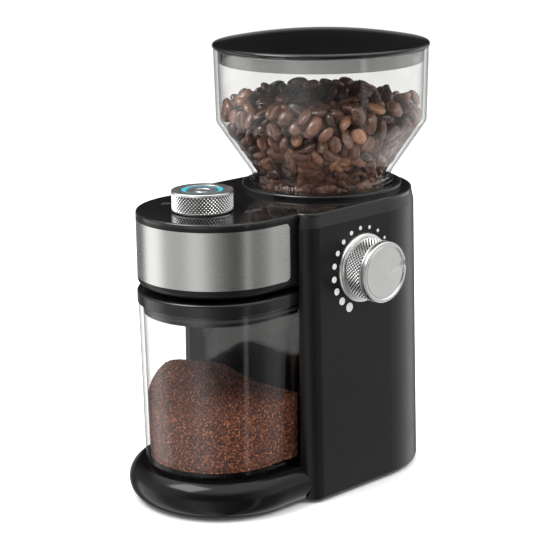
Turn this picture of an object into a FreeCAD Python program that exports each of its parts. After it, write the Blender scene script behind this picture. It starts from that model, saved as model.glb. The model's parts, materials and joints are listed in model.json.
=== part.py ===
"""Burr coffee grinder: hopper on top, grinding core and motor in a tower, jar in front.

Millimetres, +Z up, the front towards -Y, the grind dial on +X.  The model is laid out with
x = 0 in the middle plane, y = 0 on the burr axis and z = 0 at the housing's lower edge.
export() then moves every piece so that the origin is the centre of the whole machine's
footprint, on the surface that its feet stand on.
"""
import FreeCAD, Part
import math
import os

V = FreeCAD.Vector
UP = V(0, 0, 1)

# ---------------------------------------------------------------- clearances
GAP = 0.3                    # between pieces that move past each other
RUN = 0.08                   # radial clearance of a shaft in its bearing
SLIP = 0.1                   # between fixed pieces that are slipped into each other

# ---------------------------------------------------------------- shells
WALL = 2.6                   # moulded walls of the tower, head and base
DECK = 2.2                   # bottom plate and top plate
FOOT_DROP = 1.2              # how far the feet stand below the housing's lower edge
FOOT_R = 6.0
BASE_TOP_Z = 19.6            # platform that the jar stands on
TOWER_DRAFT = 2.5            # how much wider each side is at the floor than at the seam
TOWER_CORNER_R = 8.5
TOWER_FOOT_ROUND = 2.0
LIP_W = 7.7                  # width of the front lips beside the recess, at the seam
LIP_DEPTH = 10.0             # how far the lips stand ahead of the recess floor
GROOVE = 1.2                 # shadow gap between the head and the lips

# ---------------------------------------------------------------- grinding core
SHAFT_R = 4.0
BURR_R = 24.0
UPPER_BURR_BORE_R = 13.0
LOWER_BURR_H = 6.0
UPPER_BURR_H = 5.0
GRIND_GAP = 0.6              # between the burrs at the stored setting
BURR_TEETH = 24
THROW_ROOM = 9.0             # ring of space round the burrs where the impeller runs
CHAMBER_WALL = 3.0
HUB_H = 5.0
CARRIER_RIM = 6.0            # how much wider the burr carrier is than its burr
CARRIER_H = 11.0
RING_H = 4.0                 # adjusting ring
KEEPER_H = 2.0
KEEPER_HEAD_H = 0.9
EAR_R = 3.6
EAR_DEG = (75.0, 180.0, 285.0)
CORE_ROOM = 8.6              # from the widest core piece to the tower's outside
SPOUT_H = 7.0                # from the head's underside to the chute's floor
CHUTE_HALF_W = 11.0
CHUTE_H = 11.0
CHUTE_WALL = 2.2

# ---------------------------------------------------------------- hopper and lid
HOPPER_R = 60.5
HOPPER_WALL = 2.2
HOPPER_TAPER = 0.9           # how much narrower the bowl is at the top of its cone
BOWL_H = 41.1                # straight part of the bowl
CONE_H = 29.8
NECK_ROOM = 8.5              # how much wider the hopper's neck is than the burr carrier
NECK_DEPTH = 7.6             # neck below the top plate
THROAT_R = 15.0
FLANGE_REACH = 2.5           # how far the flange stands outside the neck
COLLAR_RIM_W = 4.6           # width of the collar's visible ring outside the flange
COLLAR_H = 3.0
LUG_H = 2.4
LUG_REACH = 3.1
LUG_DEG = 16.0
LUG_COUNT = 3
TWIST_DEG = 25.0
LID_OVERHANG = 0.7
LID_DOME = 6.0
LID_EDGE = 2.7
LID_WALL = 2.2
SKIRT_H = 8.0
SKIRT_WALL = 2.0

# ---------------------------------------------------------------- head and jar
HEAD_CENTRE_Y = -82.1
HEAD_FOOT_ROUND = 4.0
BAND_T = 0.6
BAND_LOW = 5.1               # band above the head's underside
BAND_HIGH = 4.3              # band below the machine's top
BAND_BACK_Y = -69.0
BAND_CORNER_R = 3.0
JAR_CENTRE_Y = -83.1
JAR_H = 91.8
JAR_TAPER = 1.5
JAR_WALL = 2.4
JAR_INSET = 0.9              # jar rim inside the head's outline
JAR_REAR_GAP = 1.2
JAR_LID_H = 7.0
JAR_LID_PLUG = 6.0
JAR_LID_WALL = 2.0
LID_HEAD_GAP = 2.3
NOSE_W = 8.0                 # how far the base's nose stands outside the head's outline
NOSE_FOOT_IN = 5.1           # and how far it draws in again at the floor
NOSE_TOP_IN = 6.0

# ---------------------------------------------------------------- start knob
KNOB_Y = -91.7
KNOB_R = 16.8
KNOB_H = 11.3
BUTTON_R = 9.0
LIGHT_W = 2.2
BUTTON_TRAVEL = 1.5

# ---------------------------------------------------------------- grind dial
DIAL_Y = -22.3
DIAL_BELOW_TOP = 35.5
DIAL_R = 17.0
DIAL_REACH = 16.9            # outer face beyond the tower's side
BEZEL_R = 19.3
BEZEL_PROUD = 2.2
DIAL_REST_DEG = -81.0        # pointer from straight up, positive towards the front
DIAL_SHAFT_R = 3.0
PINION_TEETH = 10
GEAR_MODULE = 0.8
GEAR_PLAY = 0.12
PINION_ADDENDUM = 0.5
RACK_ADDENDUM = 0.45
TOOTH_ROOT = 0.75
RACK_W = 5.6
RACK_H = 6.7
PIN_R = 2.0

# ---------------------------------------------------------------- motor
MOTOR_R = 30.0
MOTOR_H = 73.0
CAN_WALL = 2.0
MOUNT_H = 3.0
ISOLATOR_H = 3.0
CHAMBER_SKIRT_H = 18.0       # chamber floor above the motor mount

# ---------------------------------------------------------------- heights that follow
JAR_FOOT_Z = BASE_TOP_Z + GAP
JAR_RIM_Z = JAR_FOOT_Z + JAR_H
JAR_LID_TOP_Z = JAR_RIM_Z + JAR_LID_H
HEAD_FOOT_Z = JAR_LID_TOP_Z + LID_HEAD_GAP
CHUTE_FLOOR_Z = HEAD_FOOT_Z + SPOUT_H
CHAMBER_FLOOR_Z = CHUTE_FLOOR_Z - 1.0
HUB_Z = CHAMBER_FLOOR_Z + 1.0
LOWER_BURR_Z = HUB_Z + HUB_H
UPPER_BURR_Z = LOWER_BURR_Z + LOWER_BURR_H + GRIND_GAP
CARRIER_Z = UPPER_BURR_Z + 0.4
CHAMBER_TOP_Z = UPPER_BURR_Z + UPPER_BURR_H + 1.4
RING_Z = CHAMBER_TOP_Z + GAP
KEEPER_Z = RING_Z + RING_H + GAP
HOPPER_FOOT_Z = KEEPER_Z + KEEPER_H + KEEPER_HEAD_H + 0.7
TOP_Z = HOPPER_FOOT_Z + NECK_DEPTH
PLATE_Z = TOP_Z - DECK
SEAM_Z = TOP_Z - 7.8
MOUNT_Z = CHAMBER_FLOOR_Z - WALL - CHAMBER_SKIRT_H
MOTOR_TOP_Z = MOUNT_Z
MOTOR_FOOT_Z = MOTOR_TOP_Z - MOTOR_H
DIAL_Z = TOP_Z - DIAL_BELOW_TOP
COLLAR_TOP_Z = TOP_Z + COLLAR_H
FLANGE_Z = COLLAR_TOP_Z + GAP
CONE_Z = FLANGE_Z + 5.0
BOWL_Z = CONE_Z + CONE_H
BOWL_TOP_Z = BOWL_Z + BOWL_H
LID_Z = BOWL_TOP_Z + GAP
LID_TOP_Z = LID_Z + LID_EDGE + LID_DOME
KNOB_Z = TOP_Z + GAP

# ---------------------------------------------------------------- radii that follow
CHAMBER_IN_R = BURR_R + THROW_ROOM
CHAMBER_R = CHAMBER_IN_R + CHAMBER_WALL
CARRIER_R = BURR_R + CARRIER_RIM
PIN_RADIUS = CHAMBER_R + 4.0         # pin and ears from the burr axis
KEEPER_R = PIN_RADIUS + EAR_R
NECK_R = CARRIER_R + NECK_ROOM
FLANGE_R = NECK_R + FLANGE_REACH
COLLAR_SKIRT_R = NECK_R + LUG_REACH + 2.3
CORE_R = max(KEEPER_R, COLLAR_SKIRT_R)
TOWER_HALF_W = CORE_R + CORE_ROOM    # at the seam
TOWER_HALF_W_LOW = TOWER_HALF_W + TOWER_DRAFT
RECESS_HALF_W = TOWER_HALF_W - LIP_W
HEAD_R = RECESS_HALF_W - GROOVE
JAR_R = HEAD_R - JAR_INSET
BASE_R = HEAD_R + NOSE_W
COLLAR_IN_R = NECK_R + GAP
COLLAR_R = FLANGE_R + COLLAR_RIM_W
LID_R = HOPPER_R + LID_OVERHANG

# ---------------------------------------------------------------- lengths that follow
RECESS_BACK_Y = -(TOWER_HALF_W + 1.5)
TOWER_FRONT_Y = RECESS_BACK_Y - LIP_DEPTH
JAR_BACK_Y = RECESS_BACK_Y - JAR_REAR_GAP
FRONT_Y = HEAD_CENTRE_Y - BASE_R
REAR_Y = LID_R
PINION_R = GEAR_MODULE * PINION_TEETH / 2
RACK_X = PIN_RADIUS - RACK_W / 2
RACK_Z = DIAL_Z + PINION_R
PIN_Y = -PINION_R * math.radians(DIAL_REST_DEG)


def tower_half_w(z):
    """Half width of the drafted tower at height z."""
    return TOWER_HALF_W_LOW - TOWER_DRAFT * z / SEAM_Z


SIDE_X = tower_half_w(DIAL_Z)
DIAL_TIP_X = SIDE_X + DIAL_REACH
SHIFT = V((LID_R - DIAL_TIP_X) / 2, -(FRONT_Y + REAR_Y) / 2, FOOT_DROP)


# ================================================================ plain shapes
def cyl(r, z0, z1, x=0.0, y=0.0):
    """Upright cylinder."""
    return Part.makeCylinder(r, z1 - z0, V(x, y, z0), UP)


def tube(r_out, r_in, z0, z1, x=0.0, y=0.0):
    """Upright tube."""
    return cyl(r_out, z0, z1, x, y).cut(cyl(r_in, z0 - 1, z1 + 1, x, y))


def cyl_x(r, x0, x1, y, z):
    """Cylinder along X."""
    return Part.makeCylinder(r, x1 - x0, V(x0, y, z), V(1, 0, 0))


def cyl_y(r, y0, y1, x, z):
    """Cylinder along Y."""
    return Part.makeCylinder(r, y1 - y0, V(x, y0, z), V(0, 1, 0))


def box(x0, x1, y0, y1, z0, z1):
    """Box between two corners."""
    return Part.makeBox(x1 - x0, y1 - y0, z1 - z0, V(x0, y0, z0))


def path(points):
    """Closed wire through points; an entry (middle, end) is an arc to end through middle."""
    start = points[0]
    here = start
    edges = []
    for item in points[1:] + [start]:
        if isinstance(item, tuple):
            middle, end = item
            edges.append(Part.Arc(here, middle, end).toShape())
        else:
            end = item
            edges.append(Part.LineSegment(here, end).toShape())
        here = end
    return Part.Wire(edges)


def turned(profile, x=0.0, y=0.0, degrees=360.0):
    """Solid of revolution about an upright axis; the profile is (radius, z) pairs.

    An entry of two pairs is an arc through the first to the second.
    """
    def place(pair):
        return V(x + pair[0], y, pair[1])

    points = []
    for item in profile:
        if isinstance(item[0], tuple):
            points.append((place(item[0]), place(item[1])))
        else:
            points.append(place(item))
    face = Part.Face(path(points))
    return face.revolve(V(x, y, 0), UP, degrees)


def turned_x(profile, y, z):
    """Solid of revolution about an axis along X; the profile is (x, radius) pairs."""
    face = Part.Face(path([V(px, y, z + pr) for px, pr in profile]))
    return face.revolve(V(0, y, z), V(1, 0, 0), 360)


def prism(wire, height):
    """Upright prism on a flat wire."""
    return Part.Face(wire).extrude(V(0, 0, height))


def loft(low, high):
    """Straight-sided solid between two like wires."""
    return Part.makeLoft([low, high], True, True)


def round_edges(shape, radius, chosen):
    """Fillet the edges for which chosen(edge) is true."""
    edges = [edge for edge in shape.Edges if chosen(edge)]
    return shape.makeFillet(radius, edges)


def at_height(z):
    """Test for edges that lie wholly at height z."""
    def test(edge):
        return abs(edge.BoundBox.ZMin - z) < 1e-4 and abs(edge.BoundBox.ZMax - z) < 1e-4
    return test


def around(shape, count, x=0.0, y=0.0, start=0.0):
    """Copies of a shape turned evenly about an upright axis."""
    copies = []
    for index in range(count):
        copy = shape.copy()
        copy.rotate(V(x, y, 0), UP, start + 360.0 * index / count)
        copies.append(copy)
    return copies


def fused(shapes):
    """One solid from pieces that meet."""
    return shapes[0].multiFuse(shapes[1:]).removeSplitter()


def both_sides(shape):
    """A shape and its mirror image across the middle plane."""
    return [shape, shape.mirror(V(0, 0, 0), V(1, 0, 0))]


# ================================================================ outlines
def tower_plan(half_w, front_y, corner_r, z):
    """Outline with a half-round rear about the burr axis and a flat front."""
    d = corner_r * (1 - math.sqrt(0.5))
    return path([
        V(half_w, 0, z),
        (V(0, half_w, z), V(-half_w, 0, z)),
        V(-half_w, front_y + corner_r, z),
        (V(-half_w + d, front_y + d, z), V(-half_w + corner_r, front_y, z)),
        V(half_w - corner_r, front_y, z),
        (V(half_w - d, front_y + d, z), V(half_w, front_y + corner_r, z)),
    ])


def d_plan(r, centre_y, back_y, corner_r, z):
    """Outline with a half-round front, straight sides and a flat back."""
    d = corner_r * (1 - math.sqrt(0.5))
    return path([
        V(-r, centre_y, z),
        (V(0, centre_y - r, z), V(r, centre_y, z)),
        V(r, back_y - corner_r, z),
        (V(r - d, back_y - d, z), V(r - corner_r, back_y, z)),
        V(-r + corner_r, back_y, z),
        (V(-r + d, back_y - d, z), V(-r, back_y - corner_r, z)),
    ])


def tower_form(inset, z0, z1):
    """The tower's drafted form between two heights, its walls moved in by inset."""
    corner = TOWER_CORNER_R - inset
    low = tower_plan(tower_half_w(z0) - inset, TOWER_FRONT_Y + inset, corner, z0)
    high = tower_plan(tower_half_w(z1) - inset, TOWER_FRONT_Y + inset, corner, z1)
    return loft(low, high)


def recess_box(grow, z0, z1):
    """The space in the tower's front that the head and the jar stand in."""
    half = RECESS_HALF_W + grow
    return box(-half, half, TOWER_FRONT_Y - 5, RECESS_BACK_Y + grow, z0, z1)


# ================================================================ shared places
def polar(radius, degrees):
    """Point in plan at a radius and angle from the burr axis."""
    angle = math.radians(degrees)
    return (radius * math.cos(angle), radius * math.sin(angle))


def mirrored(points):
    """Points on the right side, followed by their mirror images on the left."""
    return points + [(-x, y) for x, y in points]


MOUNT_POINTS = mirrored([(TOWER_HALF_W - 10.5, -30.0), polar(TOWER_HALF_W - WALL - 6.2, 45.0)])
COVER_POINTS = mirrored([(TOWER_HALF_W - 6.5, RECESS_BACK_Y + 12.0),
                         polar(CORE_R + 3.4, 45.0)])
PLATE_POINTS = mirrored([(TOWER_HALF_W - 6.5, -45.0), polar(TOWER_HALF_W - 3.3, 52.0)])
FOOT_POINTS = mirrored([(HEAD_R - 13.6, HEAD_CENTRE_Y - 24.0), (TOWER_HALF_W - 15.5, 22.0)])
SCREW_R = 1.5
SCREW_HEAD_R = 3.0
SCREW_HEAD_H = 1.6
BOSS_R = 4.4
COVER_BOSS_R = 2.8
COVER_HEAD_R = 2.6
PAD_R = 12.0
WINDOW_HALF_W = CHUTE_HALF_W + CHUTE_WALL + GAP
CORD_Z = 14.0
CORD_BORE_R = 3.4
GLAND_R = 6.0


def screw(x, y, z_head, length, up=True, head_r=SCREW_HEAD_R):
    """Pan-head screw; z_head is the height of the face that the head rests on."""
    if up:
        shank = cyl(SCREW_R, z_head, z_head + length, x, y)
        head = cyl(head_r, z_head - SCREW_HEAD_H, z_head, x, y)
        tip_z = z_head - SCREW_HEAD_H
        slot = box(x - 2.0, x + 2.0, y - 0.4, y + 0.4, tip_z - 1, tip_z + 0.7)
    else:
        shank = cyl(SCREW_R, z_head - length, z_head, x, y)
        head = cyl(head_r, z_head, z_head + SCREW_HEAD_H, x, y)
        tip_z = z_head + SCREW_HEAD_H
        slot = box(x - 2.0, x + 2.0, y - 0.4, y + 0.4, tip_z - 0.7, tip_z + 1)
    return shank.fuse(head).cut(slot)


def wall_boss(x, y, z0, z1, radius=BOSS_R):
    """Screw boss with a rib that runs outwards into the tower's wall."""
    boss = cyl(radius, z0, z1, x, y)
    reach = math.hypot(x, y)
    if y < 0:
        side = math.copysign(1.0, x)
        x0, x1 = sorted((x, side * TOWER_HALF_W_LOW))
        rib = box(x0, x1, y - 1.5, y + 1.5, z0, z1)
    else:
        rib = box(0, TOWER_HALF_W_LOW - reach + 2, -1.5, 1.5, z0, z1)
        rib.rotate(V(0, 0, 0), UP, math.degrees(math.atan2(y, x)))
        rib.translate(V(x, y, 0))
    hole = cyl(SCREW_R + RUN, z0 - 1, z1 + 1, x, y)
    return boss.fuse(rib).cut(hole)


# ================================================================ housing and base
def body_housing():
    """Tower shell with the recess for head and jar, inner bosses and the dial's pad."""
    outer = round_edges(tower_form(0.0, 0.0, SEAM_Z), TOWER_FOOT_ROUND, at_height(0.0))
    room = tower_form(WALL, -1.0, SEAM_Z + 1.0)
    wide = 2 * TOWER_HALF_W_LOW
    front_block = box(-wide, wide, TOWER_FRONT_Y - 5, RECESS_BACK_Y + WALL,
                      BASE_TOP_Z - WALL, SEAM_Z + 2)
    shell = outer.cut(room.cut(front_block)).cut(recess_box(0.0, BASE_TOP_Z, SEAM_Z + 2))
    added = [wall_boss(x, y, MOUNT_Z - ISOLATOR_H - 30, MOUNT_Z - ISOLATOR_H)
             for x, y in MOUNT_POINTS]
    added += [wall_boss(x, y, SEAM_Z - 8, SEAM_Z, COVER_BOSS_R) for x, y in COVER_POINTS]
    added += [wall_boss(x, y, 0.8 + DECK, 16.0) for x, y in PLATE_POINTS]
    added.append(cyl_x(PAD_R, GUIDE_OUT_X, SIDE_X, DIAL_Y, DIAL_Z))
    added = [piece.common(outer) for piece in added]
    shell = shell.multiFuse(added)
    cuts = [
        cyl_x(BEZEL_R + SLIP, BEZEL_X, SIDE_X + 5, DIAL_Y, DIAL_Z),
        cyl_x(BUSH_R + SLIP, GUIDE_OUT_X - 1, SIDE_X + 5, DIAL_Y, DIAL_Z),
        box(-WINDOW_HALF_W, WINDOW_HALF_W, RECESS_BACK_Y - 1, RECESS_BACK_Y + WALL + 1,
            CHUTE_FLOOR_Z - CHUTE_WALL - GAP, CHUTE_FLOOR_Z + CHUTE_H + CHUTE_WALL + GAP),
        box(-38, 38, TOWER_FRONT_Y - 1, TOWER_FRONT_Y + WALL + 1, -1, 12),
        cyl_y(GLAND_R + SLIP, 40, 60, 0, CORD_Z),
        box(-JAR_SWITCH_W / 2 - SLIP, JAR_SWITCH_W / 2 + SLIP, RECESS_BACK_Y - 1,
            RECESS_BACK_Y + WALL + 1, JAR_SWITCH_Z - SLIP, JAR_SWITCH_Z + JAR_SWITCH_H + SLIP),
    ]
    for side in (-1, 1):
        for row in range(8):
            z = 36.0 + 5.0 * row
            x0, x1 = sorted((side * 6.0, side * 26.0))
            cuts.append(box(x0, x1, 40, 60, z, z + 2.2))
    shell = shell.cut(Part.makeCompound(cuts)).removeSplitter()
    return shell


def base_profile(inset, z0):
    """Half section of the bull-nosed base: (distance from the middle, z) pairs."""
    r = BASE_R - inset
    top = BASE_TOP_Z - inset
    return [
        (0.0, z0),
        (r - NOSE_FOOT_IN, z0),
        ((r, BASE_TOP_Z * 0.52), (r - NOSE_TOP_IN, top)),
        (0.0, top),
    ]


def base_form(inset, z0):
    """The base's form: a half-round nose and a straight run back to the tower."""
    profile = base_profile(inset, z0)
    nose = turned(profile, y=HEAD_CENTRE_Y, degrees=-180)
    points = []
    for item in profile:
        if isinstance(item[0], tuple):
            points.append(tuple(V(px, HEAD_CENTRE_Y, pz) for px, pz in item))
        else:
            points.append(V(item[0], HEAD_CENTRE_Y, item[1]))
    half = Part.Face(path(points)).extrude(V(0, TOWER_FRONT_Y + 12 - HEAD_CENTRE_Y, 0))
    return fused([nose] + both_sides(half))


def base_shell():
    """Jar platform: a hollow bull-nosed shell that stands against the tower's front."""
    shell = base_form(0.0, 0.0).cut(base_form(WALL, -1.0))
    return shell.cut(tower_form(-0.05, -1.0, BASE_TOP_Z + 5))


def bottom_plate():
    """Flat plate that closes the tower and the base from below."""
    inset = WALL + GAP
    tower = prism(tower_plan(tower_half_w(0) - inset, TOWER_FRONT_Y + inset,
                             TOWER_CORNER_R - inset, 0.8), DECK)
    neck = box(-37.5, 37.5, TOWER_FRONT_Y - 2, TOWER_FRONT_Y + inset + 1, 0.8, 0.8 + DECK)
    nose = prism(d_plan(BASE_R - NOSE_FOOT_IN - inset - 1, HEAD_CENTRE_Y,
                        TOWER_FRONT_Y - 0.2, 3.0, 0.8), DECK)
    plate = fused([tower, neck, nose])
    holes = [cyl(SCREW_R + RUN, 0, 5, x, y) for x, y in PLATE_POINTS]
    for side in (-1, 1):
        for row in range(5):
            y = -10.0 + 5.0 * row
            x0, x1 = sorted((side * 8.0, side * 24.0))
            holes.append(box(x0, x1, y, y + 2.2, 0, 5))
    return plate.cut(Part.makeCompound(holes))


def base_screws():
    """Four screws that hold the bottom plate to the housing."""
    sunk = [screw(x, y, 0.8, 12.0) for x, y in PLATE_POINTS]
    return Part.makeCompound(sunk)


def rubber_feet():
    """Four round feet under the bottom plate."""
    feet = []
    for x, y in FOOT_POINTS:
        foot = turned([(0, -FOOT_DROP), (FOOT_R - 0.6, -FOOT_DROP), (FOOT_R, -FOOT_DROP + 0.6),
                       (FOOT_R, 0.8), (0, 0.8)], x, y)
        feet.append(foot)
    return Part.makeCompound(feet)


def top_cover():
    """Frame on the tower's top edge, leaning in a little, with a deck for the top plate."""
    lean = TOWER_HALF_W - 1.2
    low = tower_plan(TOWER_HALF_W, TOWER_FRONT_Y, TOWER_CORNER_R, SEAM_Z)
    high = tower_plan(lean, TOWER_FRONT_Y + 1.2, TOWER_CORNER_R, PLATE_Z)
    low_in = tower_plan(TOWER_HALF_W - WALL, TOWER_FRONT_Y + WALL, 5.0, SEAM_Z - 1)
    high_in = tower_plan(lean - WALL, TOWER_FRONT_Y + 1.2 + WALL, 5.0, PLATE_Z - WALL)
    cover = loft(low, high).cut(loft(low_in, high_in))
    bosses = [cyl(COVER_BOSS_R, SEAM_Z, PLATE_Z - WALL + 0.5, x, y) for x, y in COVER_POINTS]
    cover = cover.multiFuse(bosses)
    cover = cover.cut(cyl(COLLAR_SKIRT_R + GAP, SEAM_Z - 2, TOP_Z + 2))
    cover = cover.cut(recess_box(0.0, SEAM_Z - 2, TOP_Z + 2))
    holes = [cyl(SCREW_R + RUN, SEAM_Z - 2, TOP_Z, x, y) for x, y in COVER_POINTS]
    heads = [cyl(COVER_HEAD_R + SLIP, PLATE_Z - SCREW_HEAD_H - SLIP, TOP_Z, x, y)
             for x, y in COVER_POINTS]
    return cover.cut(Part.makeCompound(holes + heads)).removeSplitter()


def cover_screws():
    """Four screws under the top plate that hold the cover to the tower."""
    length = PLATE_Z - SCREW_HEAD_H - SEAM_Z + 6.0
    return Part.makeCompound([screw(x, y, PLATE_Z - SCREW_HEAD_H, length, False, COVER_HEAD_R)
                              for x, y in COVER_POINTS])


def top_plate():
    """Gloss plate over the tower and the head in one piece."""
    lean = TOWER_HALF_W - 1.2
    tower = prism(tower_plan(lean, TOWER_FRONT_Y + 1.2, TOWER_CORNER_R, PLATE_Z), DECK)
    head = prism(d_plan(HEAD_R, HEAD_CENTRE_Y, RECESS_BACK_Y, 2.0, PLATE_Z), DECK)
    plate = fused([round_edges(tower, 1.2, at_height(TOP_Z)),
                   round_edges(head, 1.2, at_height(TOP_Z))])
    plate = plate.cut(cyl(COLLAR_SKIRT_R + GAP, PLATE_Z - 1, TOP_Z + 1))
    return plate.cut(cyl(KNOB_STEM_R + 0.6, PLATE_Z - 1, TOP_Z + 1, 0, KNOB_Y))


# ================================================================ head
def band_window(grow):
    """Side view of the steel band, swept across the whole head."""
    y1 = BAND_BACK_Y + grow
    z0 = HEAD_FOOT_Z + BAND_LOW - grow
    z1 = TOP_Z - BAND_HIGH + grow
    r = BAND_CORNER_R + grow
    d = r * (1 - math.sqrt(0.5))
    x0 = -HEAD_R - 5
    y0 = FRONT_Y - 20
    wire = path([
        V(x0, y0, z0),
        V(x0, y1 - r, z0),
        (V(x0, y1 - d, z0 + d), V(x0, y1, z0 + r)),
        V(x0, y1, z1 - r),
        (V(x0, y1 - d, z1 - d), V(x0, y1 - r, z1)),
        V(x0, y0, z1),
    ])
    return Part.Face(wire).extrude(V(-2 * x0, 0, 0))


def head_form(inset, z0, z1):
    """The head's upright form, its walls moved in by inset."""
    return prism(d_plan(HEAD_R - inset, HEAD_CENTRE_Y, RECESS_BACK_Y, 1.0, z0), z1 - z0)


def steel_band():
    """Brushed steel band that wraps the head's front and sides."""
    z0 = HEAD_FOOT_Z
    ring = head_form(0.0, z0, TOP_Z).cut(head_form(BAND_T, z0 - 1, TOP_Z + 1))
    return ring.common(band_window(0.0))


def head_shell():
    """Front housing over the jar: floor with the spout's hole, band groove, board posts."""
    outer = round_edges(head_form(0.0, HEAD_FOOT_Z, PLATE_Z), HEAD_FOOT_ROUND,
                        lambda edge: at_height(HEAD_FOOT_Z)(edge)
                        and edge.BoundBox.YMin < RECESS_BACK_Y - 0.5)
    inner_plan = d_plan(HEAD_R - BAND_T - WALL, HEAD_CENTRE_Y, RECESS_BACK_Y - WALL, 2.0,
                        HEAD_FOOT_Z + WALL)
    shell = outer.cut(prism(inner_plan, 100))
    groove = head_form(-1.0, HEAD_FOOT_Z, TOP_Z).cut(head_form(BAND_T + 0.02, 0, TOP_Z + 1))
    shell = shell.cut(groove.common(band_window(SLIP)))
    spout = box(-WINDOW_HALF_W, WINDOW_HALF_W, CHUTE_END_Y - CHUTE_WALL - GAP,
                RECESS_BACK_Y + 1, HEAD_FOOT_Z - 1,
                CHUTE_FLOOR_Z + CHUTE_H + CHUTE_WALL + GAP)
    spout = spout.cut(box(-99, 99, SPOUT_BACK_Y + CHUTE_WALL + GAP, 0, HEAD_FOOT_Z - 2,
                          CHUTE_FLOOR_Z - CHUTE_WALL - GAP))
    shell = shell.cut(spout)
    posts = [cyl(3.0, HEAD_FOOT_Z + WALL - 0.5, BOARD_Z, x, y).cut(
        cyl(1.1, HEAD_FOOT_Z, BOARD_Z + 1, x, y)) for x, y in BOARD_POINTS]
    return shell.multiFuse(posts).removeSplitter()


BOARD_Z = PLATE_Z - 9.0
BOARD_T = 1.6
BOARD_POINTS = mirrored([(HEAD_R - 15.6, HEAD_CENTRE_Y - 16.0), (HEAD_R - 12.6, -70.0)])
CHUTE_END_Y = -78.0
SPOUT_BACK_Y = -66.0
KNOB_STEM_R = 3.0


def control_board():
    """Circuit board under the start knob, with its small parts."""
    outline = d_plan(HEAD_R - BAND_T - WALL - 2.0, HEAD_CENTRE_Y, RECESS_BACK_Y - WALL - 2,
                     3.0, BOARD_Z)
    board = prism(outline, BOARD_T)
    holes = [cyl(1.2, BOARD_Z - 1, BOARD_Z + 3, x, y) for x, y in BOARD_POINTS]
    board = board.cut(Part.makeCompound(holes))
    chips = [box(x, x + 6, -72, -66, BOARD_Z + BOARD_T, BOARD_Z + BOARD_T + 1.5)
             for x in (-22.0, -12.0, 8.0, 18.0)]
    return fused([board] + chips)


def board_screws():
    """Four small screws that hold the board to the head's posts."""
    screws = []
    for x, y in BOARD_POINTS:
        top = BOARD_Z + BOARD_T
        head = cyl(2.2, top, top + 1.2, x, y)
        screws.append(head.fuse(cyl(1.0, top - 8, top, x, y)))
    return Part.makeCompound(screws)


def knob_encoder():
    """Rotary selector on the board, with the bush that the knob's stem turns in."""
    low = BOARD_Z + BOARD_T
    can = box(-6, 6, KNOB_Y - 6, KNOB_Y + 6, low, low + 4.4)
    bore = cyl(KNOB_STEM_R + RUN, low + 1.5, low + 9, 0, KNOB_Y)
    return can.cut(bore)


# ================================================================ start knob
def start_knob():
    """Turned knob: outer wall for the knurl, a web and a stem, with a well for the button."""
    z1 = KNOB_Z + KNOB_H
    well_r = BUTTON_R + LIGHT_W + SLIP
    stem_z = BOARD_Z + BOARD_T + 2.0
    return turned([
        (1.4, stem_z), (KNOB_STEM_R, stem_z), (KNOB_STEM_R, KNOB_Z + 1.5),
        (KNOB_R - 2.2, KNOB_Z + 1.5), (KNOB_R - 2.2, KNOB_Z), (KNOB_R - 0.4, KNOB_Z),
        (KNOB_R, KNOB_Z + 0.4), (KNOB_R, z1 - 0.6), (KNOB_R - 0.6, z1),
        (well_r, z1), (well_r, KNOB_Z + 4.0), (1.4, KNOB_Z + 4.0),
    ], y=KNOB_Y)


def light_ring():
    """Clear ring that carries the light round the button."""
    top = KNOB_Z + KNOB_H - 0.3
    return tube(BUTTON_R + LIGHT_W, BUTTON_R + GAP, KNOB_Z + 4.0, top, 0, KNOB_Y)


def start_button():
    """Round push button in the knob's centre; its stem runs down the knob's bore."""
    top = KNOB_Z + KNOB_H - 0.5
    skirt_z = KNOB_Z + 4.0 + BUTTON_TRAVEL + GAP
    cap = turned([
        (0, skirt_z - BUTTON_TRAVEL), (1.4 - RUN, skirt_z - BUTTON_TRAVEL),
        (1.4 - RUN, skirt_z + 2), (BUTTON_R - 1.5, skirt_z + 2), (BUTTON_R - 1.5, skirt_z),
        (BUTTON_R, skirt_z), (BUTTON_R, top - 0.6), (BUTTON_R - 0.6, top), (0, top),
    ], y=KNOB_Y)
    stem = cyl(1.4 - RUN, BOARD_Z + BOARD_T + 3.2 + BUTTON_TRAVEL, skirt_z + 2, 0, KNOB_Y)
    return cap.fuse(stem).removeSplitter()


# ================================================================ grind dial and rack
BEZEL_X = SIDE_X - 1.4
BUSH_R = 5.0
GUIDE_WALL = 2.4
GUIDE_OUT_X = RACK_X + RACK_W + GAP + GUIDE_WALL
GUIDE_Y0 = DIAL_Y - 21.5
GUIDE_Y1 = DIAL_Y + 6.3


def dial_bezel():
    """Flat metal ring sunk in the tower's side round the dial."""
    x1 = SIDE_X + BEZEL_PROUD
    return turned_x([
        (BEZEL_X, BUSH_R + 1), (x1 - 1.2, BUSH_R + 1), (x1 - 1.2, DIAL_R - 3.0),
        (x1, DIAL_R - 3.0), (x1, BEZEL_R - 0.5), (x1 - 0.5, BEZEL_R), (BEZEL_X, BEZEL_R),
    ], DIAL_Y, DIAL_Z)


def dial_bushing():
    """Plain bearing of the dial's shaft in the tower's side."""
    tube_x = cyl_x(BUSH_R, GUIDE_OUT_X + 0.5, BEZEL_X + 2.0, DIAL_Y, DIAL_Z)
    return tube_x.cut(cyl_x(DIAL_SHAFT_R + RUN, 0, DIAL_TIP_X, DIAL_Y, DIAL_Z))


def dial_barrel():
    """Knurled body of the dial, pressed onto the shaft."""
    x0 = SIDE_X + BEZEL_PROUD + GAP
    x1 = DIAL_TIP_X - 3.4
    return turned_x([
        (x0, DIAL_SHAFT_R), (x0, DIAL_R - 0.5), (x0 + 0.5, DIAL_R), (x1, DIAL_R),
        (x1, DIAL_SHAFT_R),
    ], DIAL_Y, DIAL_Z)


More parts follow.
